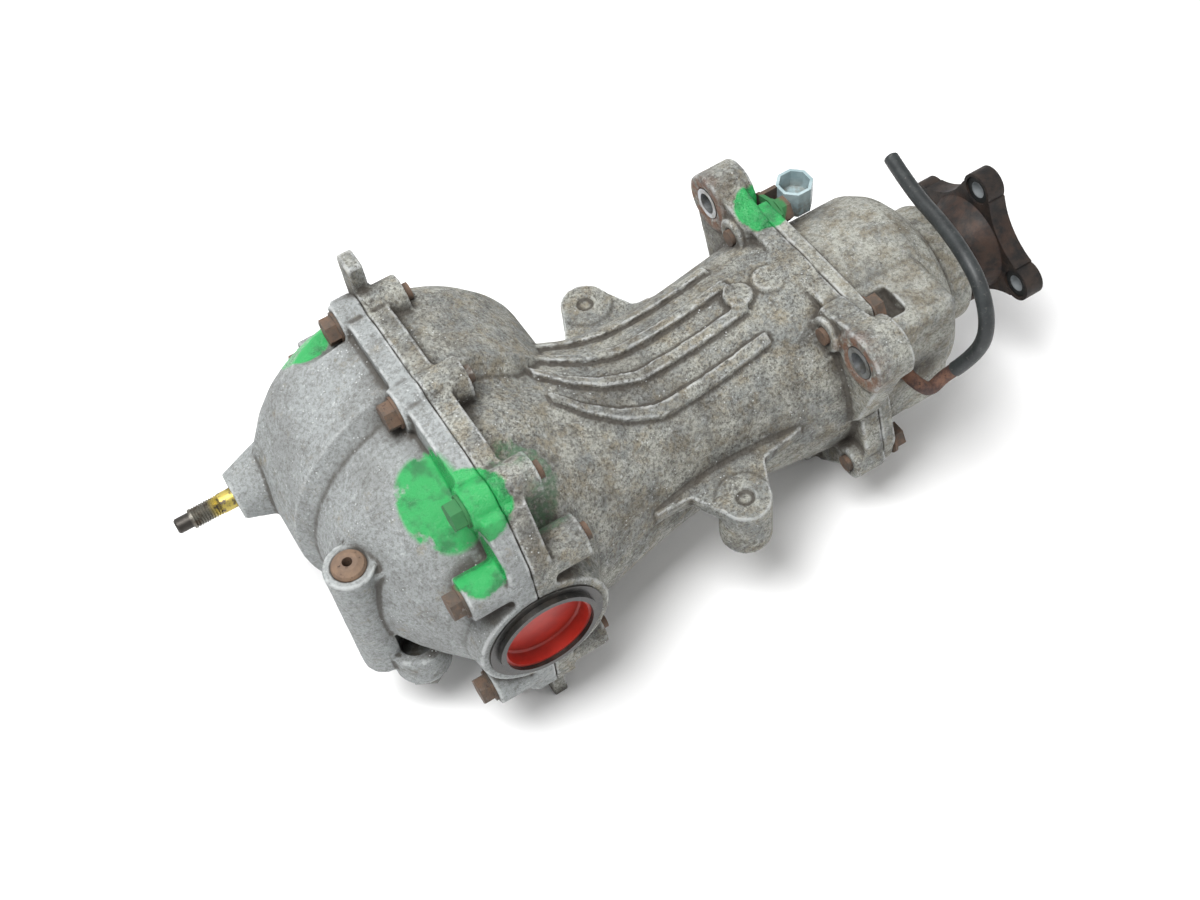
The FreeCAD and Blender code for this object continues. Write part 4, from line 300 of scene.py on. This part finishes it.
def companion_steel():
    """The flange: near black brown, redder near its hub, dark and polished round its holes."""
    g = Graph("companion_steel")
    red = g.near((0.0, 0.0, 0.0), HUB_RUST, 0.020, ragged=0.02, scale=60.0)
    skin = g.step(g.noise(80.0, 6.0, 0.7), 0.36, 0.64)
    colour = g.blend(skin, (0.014, 0.013, 0.013), (0.042, 0.030, 0.024))
    tint = g.sum("MULTIPLY", red, g.step(g.noise(150.0, 5.0), 0.38, 0.62))
    colour = g.blend(g.sum("MULTIPLY", tint, 0.6), colour, (0.075, 0.034, 0.02))
    for centre in FLANGE_HOLES:
        colour = g.blend(g.near(centre, HOLE_RIM, 0.0008), colour, (0.016, 0.018, 0.018))
        colour = g.blend(g.near(centre, HOLE_BORE, 0.0004, (1.9, 1.0, 1.0)), colour, (0.26, 0.28, 0.29))
    bump = g.sum("ADD", g.noise(240.0, 5.0, 0.7), g.sum("MULTIPLY", g.noise(900.0, 2.0), 0.4))
    rough = g.sum("ADD", 0.42, g.sum("MULTIPLY", g.noise(120.0), 0.35))
    return g.finish(colour, rough, 0.45, bump, 0.0004)


def plain_steel(name, colour_a, colour_b, rough, grain=500.0, metal=0.85):
    """Cleaner steel, with painted shade darkening its corners."""
    g = Graph(name)
    colour = g.blend(g.step(g.noise(130.0, 5.0, 0.65), 0.38, 0.64), colour_a, colour_b)
    # Painted shade: darker in corners, from ambient occlusion
    colour = g.blend(g.sum("MULTIPLY", g.edges(0.004), 0.6), colour, DARK_DIRT_AND_SHADE)
    uneven = g.sum("ADD", rough, g.sum("MULTIPLY", g.noise(300.0), 0.25))
    return g.finish(colour, uneven, metal, g.noise(grain, 3.0), 0.0002, 0.3)


def zinc_stud():
    """The stud: yellow zinc by its boss, grey thread, dark at its tip."""
    g = Graph("zinc_stud")
    along = g.axis("X")
    yellow = g.step(along, ZINC_END, ZINC_FULL)
    tip = g.step(along, TIP_START, TIP_FULL)
    colour = g.blend(yellow, (0.19, 0.18, 0.155), (0.50, 0.40, 0.10))
    colour = g.blend(g.step(g.noise(260.0, 4.0), 0.46, 0.62), colour, (0.11, 0.09, 0.07))
    colour = g.blend(tip, colour, (0.05, 0.045, 0.04))
    return g.finish(colour, 0.45, 0.75, g.noise(420.0, 5.0, 0.7), 0.0003, 0.5)


def rubber(name, colour_a, colour_b, rough):
    """Black rubber with dust in its pores."""
    g = Graph(name)
    colour = g.blend(g.step(g.noise(70.0, 5.0, 0.7), 0.40, 0.66), colour_a, colour_b)
    dust = g.step(g.noise(420.0, 4.0, 0.7), 0.58, 0.72)
    colour = g.blend(g.sum("MULTIPLY", dust, 0.5), colour, (0.14, 0.135, 0.125))
    return g.finish(colour, rough, 0.0, g.noise(600.0, 4.0, 0.7), 0.0003, 0.35)


def plastic(name, colour_a, colour_b, rough):
    """Coloured plastic, with painted shade darkening its corners."""
    g = Graph(name)
    colour = g.blend(g.step(g.noise(60.0, 4.0), 0.40, 0.66), colour_a, colour_b)
    # Painted shade: darker in corners, from ambient occlusion
    colour = g.blend(g.sum("MULTIPLY", g.edges(0.006), 0.45), colour, (0.05, 0.045, 0.04))
    return g.finish(colour, rough, 0.0, g.noise(350.0, 3.0), 0.0002, 0.25)


def connector_plastic():
    """Pale cloudy socket with rusty dirt in its mouth, and painted shade in its corners."""
    g = Graph("connector_plastic")
    colour = g.blend(g.step(g.noise(90.0, 5.0), 0.38, 0.64), (0.25, 0.34, 0.36), (0.40, 0.50, 0.52))
    deep = g.step(g.axis("Z"), SOCKET_CLEAN, SOCKET_DIRTY)
    dirt = g.sum("MULTIPLY", deep, g.step(g.noise(240.0, 4.0), 0.40, 0.60))
    colour = g.blend(g.sum("MULTIPLY", dirt, 0.6), colour, (0.16, 0.10, 0.05))
    # Painted shade: darker blue grey in corners, from ambient occlusion
    colour = g.blend(g.sum("MULTIPLY", g.edges(0.008), 0.35), colour, (0.10, 0.15, 0.16))
    return g.finish(colour, 0.38, 0.0, g.noise(300.0, 3.0), 0.0002, 0.25)


CASTING = cast_aluminium("cast_carrier", 0.01, 0.03, 0.02)
COVER_CASTING = cast_aluminium("cast_cover", 0.12, -0.05, -0.16, (0.32, 0.34, 0.34))
HOOD_CASTING = cast_aluminium("cast_hood", 0.07, 0.04, -0.05)
RUSTY = rusty_steel("rusty_steel", (0.125, 0.078, 0.052), (0.072, 0.056, 0.044), 0.6)
RUSTY_PIPE = rusty_steel("rusty_pipe", (0.17, 0.085, 0.055), (0.06, 0.035, 0.03), 0.1)
RUSTY_INSERT = rusty_steel("rusty_insert", (0.20, 0.13, 0.085), (0.15, 0.10, 0.07), 0.2)
COMPANION = companion_steel()
BEARING = plain_steel("bearing_steel", (0.55, 0.55, 0.54), (0.42, 0.42, 0.42), 0.16)
GEAR = plain_steel("gear_steel", (0.30, 0.30, 0.30), (0.20, 0.195, 0.19), 0.25)
IRON = plain_steel("machined_iron", (0.17, 0.17, 0.17), (0.10, 0.10, 0.10), 0.35, 700.0, 0.6)
SLEEVE = plain_steel("sleeve_steel", (0.42, 0.44, 0.46), (0.24, 0.235, 0.22), 0.28)
PLUG = plain_steel("plug_steel", (0.22, 0.23, 0.22), (0.11, 0.10, 0.085), 0.40, 400.0, 0.5)
COIL = plain_steel("coil_steel", (0.28, 0.28, 0.29), (0.20, 0.20, 0.20), 0.30)
STUD = zinc_stud()
SEAL = rubber("seal_rubber", (0.012, 0.012, 0.011), (0.034, 0.029, 0.024), 0.32)
HOSE = rubber("hose_rubber", (0.015, 0.018, 0.019), (0.032, 0.037, 0.038), 0.48)
RED = plastic("red_plastic", (0.44, 0.030, 0.018), (0.33, 0.022, 0.015), 0.38)
SOCKET = connector_plastic()

MATERIALS = {
    "rear_cover": COVER_CASTING,
    "carrier_housing": CASTING,
    "coupling_housing": HOOD_CASTING,
    "companion_flange": COMPANION,
    "breather_pipe": RUSTY_PIPE,
    "boss_insert": RUSTY_INSERT,
    "mount_stud": STUD,
    "drain_plug": PLUG,
    "filler_plug": PLUG,
    "connector": SOCKET,
    "differential_case": IRON,
    "coupling_coil": COIL,
    "breather_hose": HOSE,
}
BY_SLOT = {
    "bearing_steel": BEARING,
    "gear_steel": GEAR,
    "seal_rubber": SEAL,
    "red_plastic": RED,
    "rusty_steel": RUSTY,
    "plated_steel": SLEEVE,
}


def dress_nodes():
    """Give each node its own material, or else its slot's."""
    slots = {item["node"]: item["material_slot"] for item in frame["record"]["subparts"]}
    for node in frame["nodes"]:
        solid = bpy.data.objects[node]
        finish = MATERIALS.get(node) or BY_SLOT[slots[node]]
        solid.data.materials.clear()
        solid.data.materials.append(finish)


dress_nodes()


# Castings: the CAD solids with cast-in rounding at their corners and a slightly uneven skin

SKIN_CELL = 0.0011
SOFTEN_PASSES = 4
LUMP = 0.00012


def cast_copy(node, finish):
    """A copy of a node with soft corners, held within the CAD model's box."""
    source = bpy.data.objects[node]
    work = bpy.data.objects.new(node + "_work", source.data.copy())
    bpy.context.scene.collection.objects.link(work)
    remesh = work.modifiers.new("skin", "REMESH")
    remesh.mode = "VOXEL"
    remesh.voxel_size = SKIN_CELL
    soften = work.modifiers.new("soften", "SMOOTH")
    soften.factor = 0.5
    soften.iterations = SOFTEN_PASSES
    graph = bpy.context.evaluated_depsgraph_get()
    mesh = bpy.data.meshes.new_from_object(work.evaluated_get(graph))
    bpy.data.objects.remove(work)
    piece = bpy.data.objects.new(node + "_cast", mesh)
    bpy.context.scene.collection.objects.link(piece)
    count = 3 * len(mesh.vertices)
    places = [0.0] * count
    normals = [0.0] * count
    mesh.vertices.foreach_get("co", places)
    mesh.vertices.foreach_get("normal", normals)
    low, high = cad_box
    for i in range(0, count, 3):
        place = Vector(places[i:i + 3])
        bulge = LUMP * (noise.noise(place * 95.0) + 0.5 * noise.noise(place * 240.0))
        for axis in range(3):
            moved = places[i + axis] + bulge * normals[i + axis]
            places[i + axis] = min(max(moved, low[axis]), high[axis])
    mesh.vertices.foreach_set("co", places)
    mesh.update()
    mesh.materials.clear()
    mesh.materials.append(finish)
    for face in mesh.polygons:
        face.use_smooth = True
    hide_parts(node)
    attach(piece, "housing")


for part in ("rear_cover", "carrier_housing", "coupling_housing"):
    cast_copy(part, MATERIALS[part])


# Mount stud, with its thread cut: reaches from the boss and radii, in millimetres

SINK = 2.0
SHANK = 5.4
THREAD_PITCH = 1.5
THREAD_START = 8.0
THREAD_END = 25.5
CREST = 6.0
GROOVE = 5.3
END_CREST = 5.6
DOG_START = 26.0
DOG_END = 35.0
DOG = 4.5
BEVEL = 1.0
STUD_SIDES = 40


def stud_profile():
    """Pairs of reach and radius, from the end sunk in the boss to the tip."""
    profile = [(-SINK, 0.0), (-SINK, SHANK), (0.0, SHANK), (0.0, CREST), (THREAD_START, CREST)]
    reach = THREAD_START
    while reach + THREAD_PITCH < THREAD_END:
        profile += [(reach + THREAD_PITCH / 2, GROOVE), (reach + THREAD_PITCH, CREST)]
        reach += THREAD_PITCH
    return profile + [
        (DOG_START, END_CREST),
        (DOG_START, DOG),
        (DOG_END - BEVEL, DOG),
        (DOG_END, DOG - BEVEL),
        (DOG_END, 0.0),
    ]


def threaded_stud():
    """The stud's profile turned about its axis."""
    mesh = bpy.data.meshes.new("mount_stud_threaded")
    shape = bmesh.new()
    rings = []
    turns = [math.tau * i / STUD_SIDES for i in range(STUD_SIDES)]
    for reach, radius in stud_profile():
        centre = STUD_SEAT - Vector((reach * MM, 0.0, 0.0))
        if radius == 0.0:
            rings.append([shape.verts.new(centre)] * STUD_SIDES)
            continue
        rings.append([
            shape.verts.new(centre + Vector((0.0, math.cos(turn), math.sin(turn))) * radius * MM)
            for turn in turns
        ])
    for inner, outer in zip(rings, rings[1:]):
        for i in range(STUD_SIDES):
            corners = [inner[i - 1], inner[i], outer[i], outer[i - 1]]
            shape.faces.new(list(dict.fromkeys(corners)))
    bmesh.ops.recalc_face_normals(shape, faces=shape.faces)
    shape.to_mesh(mesh)
    shape.free()
    mesh.materials.append(STUD)
    piece = bpy.data.objects.new("mount_stud_threaded", mesh)
    bpy.context.scene.collection.objects.link(piece)
    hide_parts("mount_stud")
    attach(piece, "housing")


threaded_stud()


# Breather hose, in millimetres from the axle line

HOSE_ROUTE = (
    (278.5, -81.3, -4.8),
    (286.8, -88.3, 10.3),
    (289.4, -90.4, 33.9),
    (292.1, -77.3, 54.0),
    (295.2, -56.0, 61.5),
    (303.0, -28.0, 56.2),
    (310.5, 3.5, 48.0),
    (316.0, 31.0, 50.0),
)
HOSE_DIAMETER = 0.009


def hose_length(curve_object):
    """Length along the curve as drawn."""
    graph = bpy.context.evaluated_depsgraph_get()
    line = curve_object.evaluated_get(graph).to_mesh()
    points = [vertex.co.copy() for vertex in line.vertices]
    curve_object.evaluated_get(graph).to_mesh_clear()
    return sum((b - a).length for a, b in zip(points, points[1:]))


def breather_hose():
    """The hose on its steel pipe, with its far end free."""
    curve = bpy.data.curves.new("breather_hose_rubber", "CURVE")
    curve.dimensions = "3D"
    spline = curve.splines.new("NURBS")
    spline.points.add(len(HOSE_ROUTE) - 1)
    for point, place in zip(spline.points, HOSE_ROUTE):
        point.co = (*at_axle(*place), 1.0)
    spline.order_u = 3
    spline.use_endpoint_u = True
    spline.resolution_u = 24
    piece = bpy.data.objects.new("breather_hose_rubber", curve)
    bpy.context.scene.collection.objects.link(piece)
    bpy.context.view_layer.update()
    length = hose_length(piece)
    curve.bevel_depth = HOSE_DIAMETER / 2
    curve.bevel_resolution = 8
    curve.use_fill_caps = True
    curve.materials.append(HOSE)
    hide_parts("breather_hose")
    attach(piece, "housing")


breather_hose()


# Studio

CENTRE = Vector((-0.22, 0.0, 0.02))
FLOOR_HALF = 6.0
FLOOR_GAP = 0.0005
FLOOR_GREY = (0.92, 0.92, 0.92)
WORLD_STRENGTH = 0.44
LIGHTS = (
    ("key", (-0.75, -0.10, 1.50), 33.0, 0.8),
    ("fill", (0.75, -1.25, 0.95), 5.0, 1.4),
    ("back", (-0.10, 1.35, 1.05), 8.0, 1.2),
)


def studio():
    """Pale floor, three soft lights and the photograph's camera."""
    scene = bpy.context.scene
    low, _ = cad_box
    floor_mesh = bpy.data.meshes.new("floor")
    shape = bmesh.new()
    bmesh.ops.create_grid(shape, x_segments=1, y_segments=1, size=FLOOR_HALF)
    shape.to_mesh(floor_mesh)
    shape.free()
    floor = bpy.data.objects.new("floor", floor_mesh)
    floor.location = (CENTRE.x, CENTRE.y, low.z - FLOOR_GAP)
    scene.collection.objects.link(floor)
    g = Graph("studio_floor")
    floor_mesh.materials.append(g.finish((*FLOOR_GREY, 1.0), 0.8))
    for name, place, power, width in LIGHTS:
        data = bpy.data.lights.new(name, "AREA")
        data.energy = power
        data.size = width
        lamp = bpy.data.objects.new(name, data)
        lamp.location = place
        lamp.rotation_euler = (CENTRE - Vector(place)).to_track_quat("-Z", "Y").to_euler()
        scene.collection.objects.link(lamp)
    world = bpy.data.worlds.new("studio")
    world.use_nodes = True
    background = world.node_tree.nodes["Background"]
    background.inputs["Color"].default_value = (1.0, 1.0, 1.0, 1.0)
    background.inputs["Strength"].default_value = WORLD_STRENGTH
    scene.world = world
    scene.view_settings.view_transform = "Standard"
    camera_data = bpy.data.cameras.new("camera")
    camera_data.lens = CAMERA_LENS
    camera_data.sensor_width = SENSOR
    camera = bpy.data.objects.new("camera", camera_data)
    camera.location = CAMERA_PLACE
    camera.rotation_euler = Euler([math.radians(angle) for angle in CAMERA_TURN], "XYZ")
    scene.collection.objects.link(camera)
    scene.camera = camera


studio()
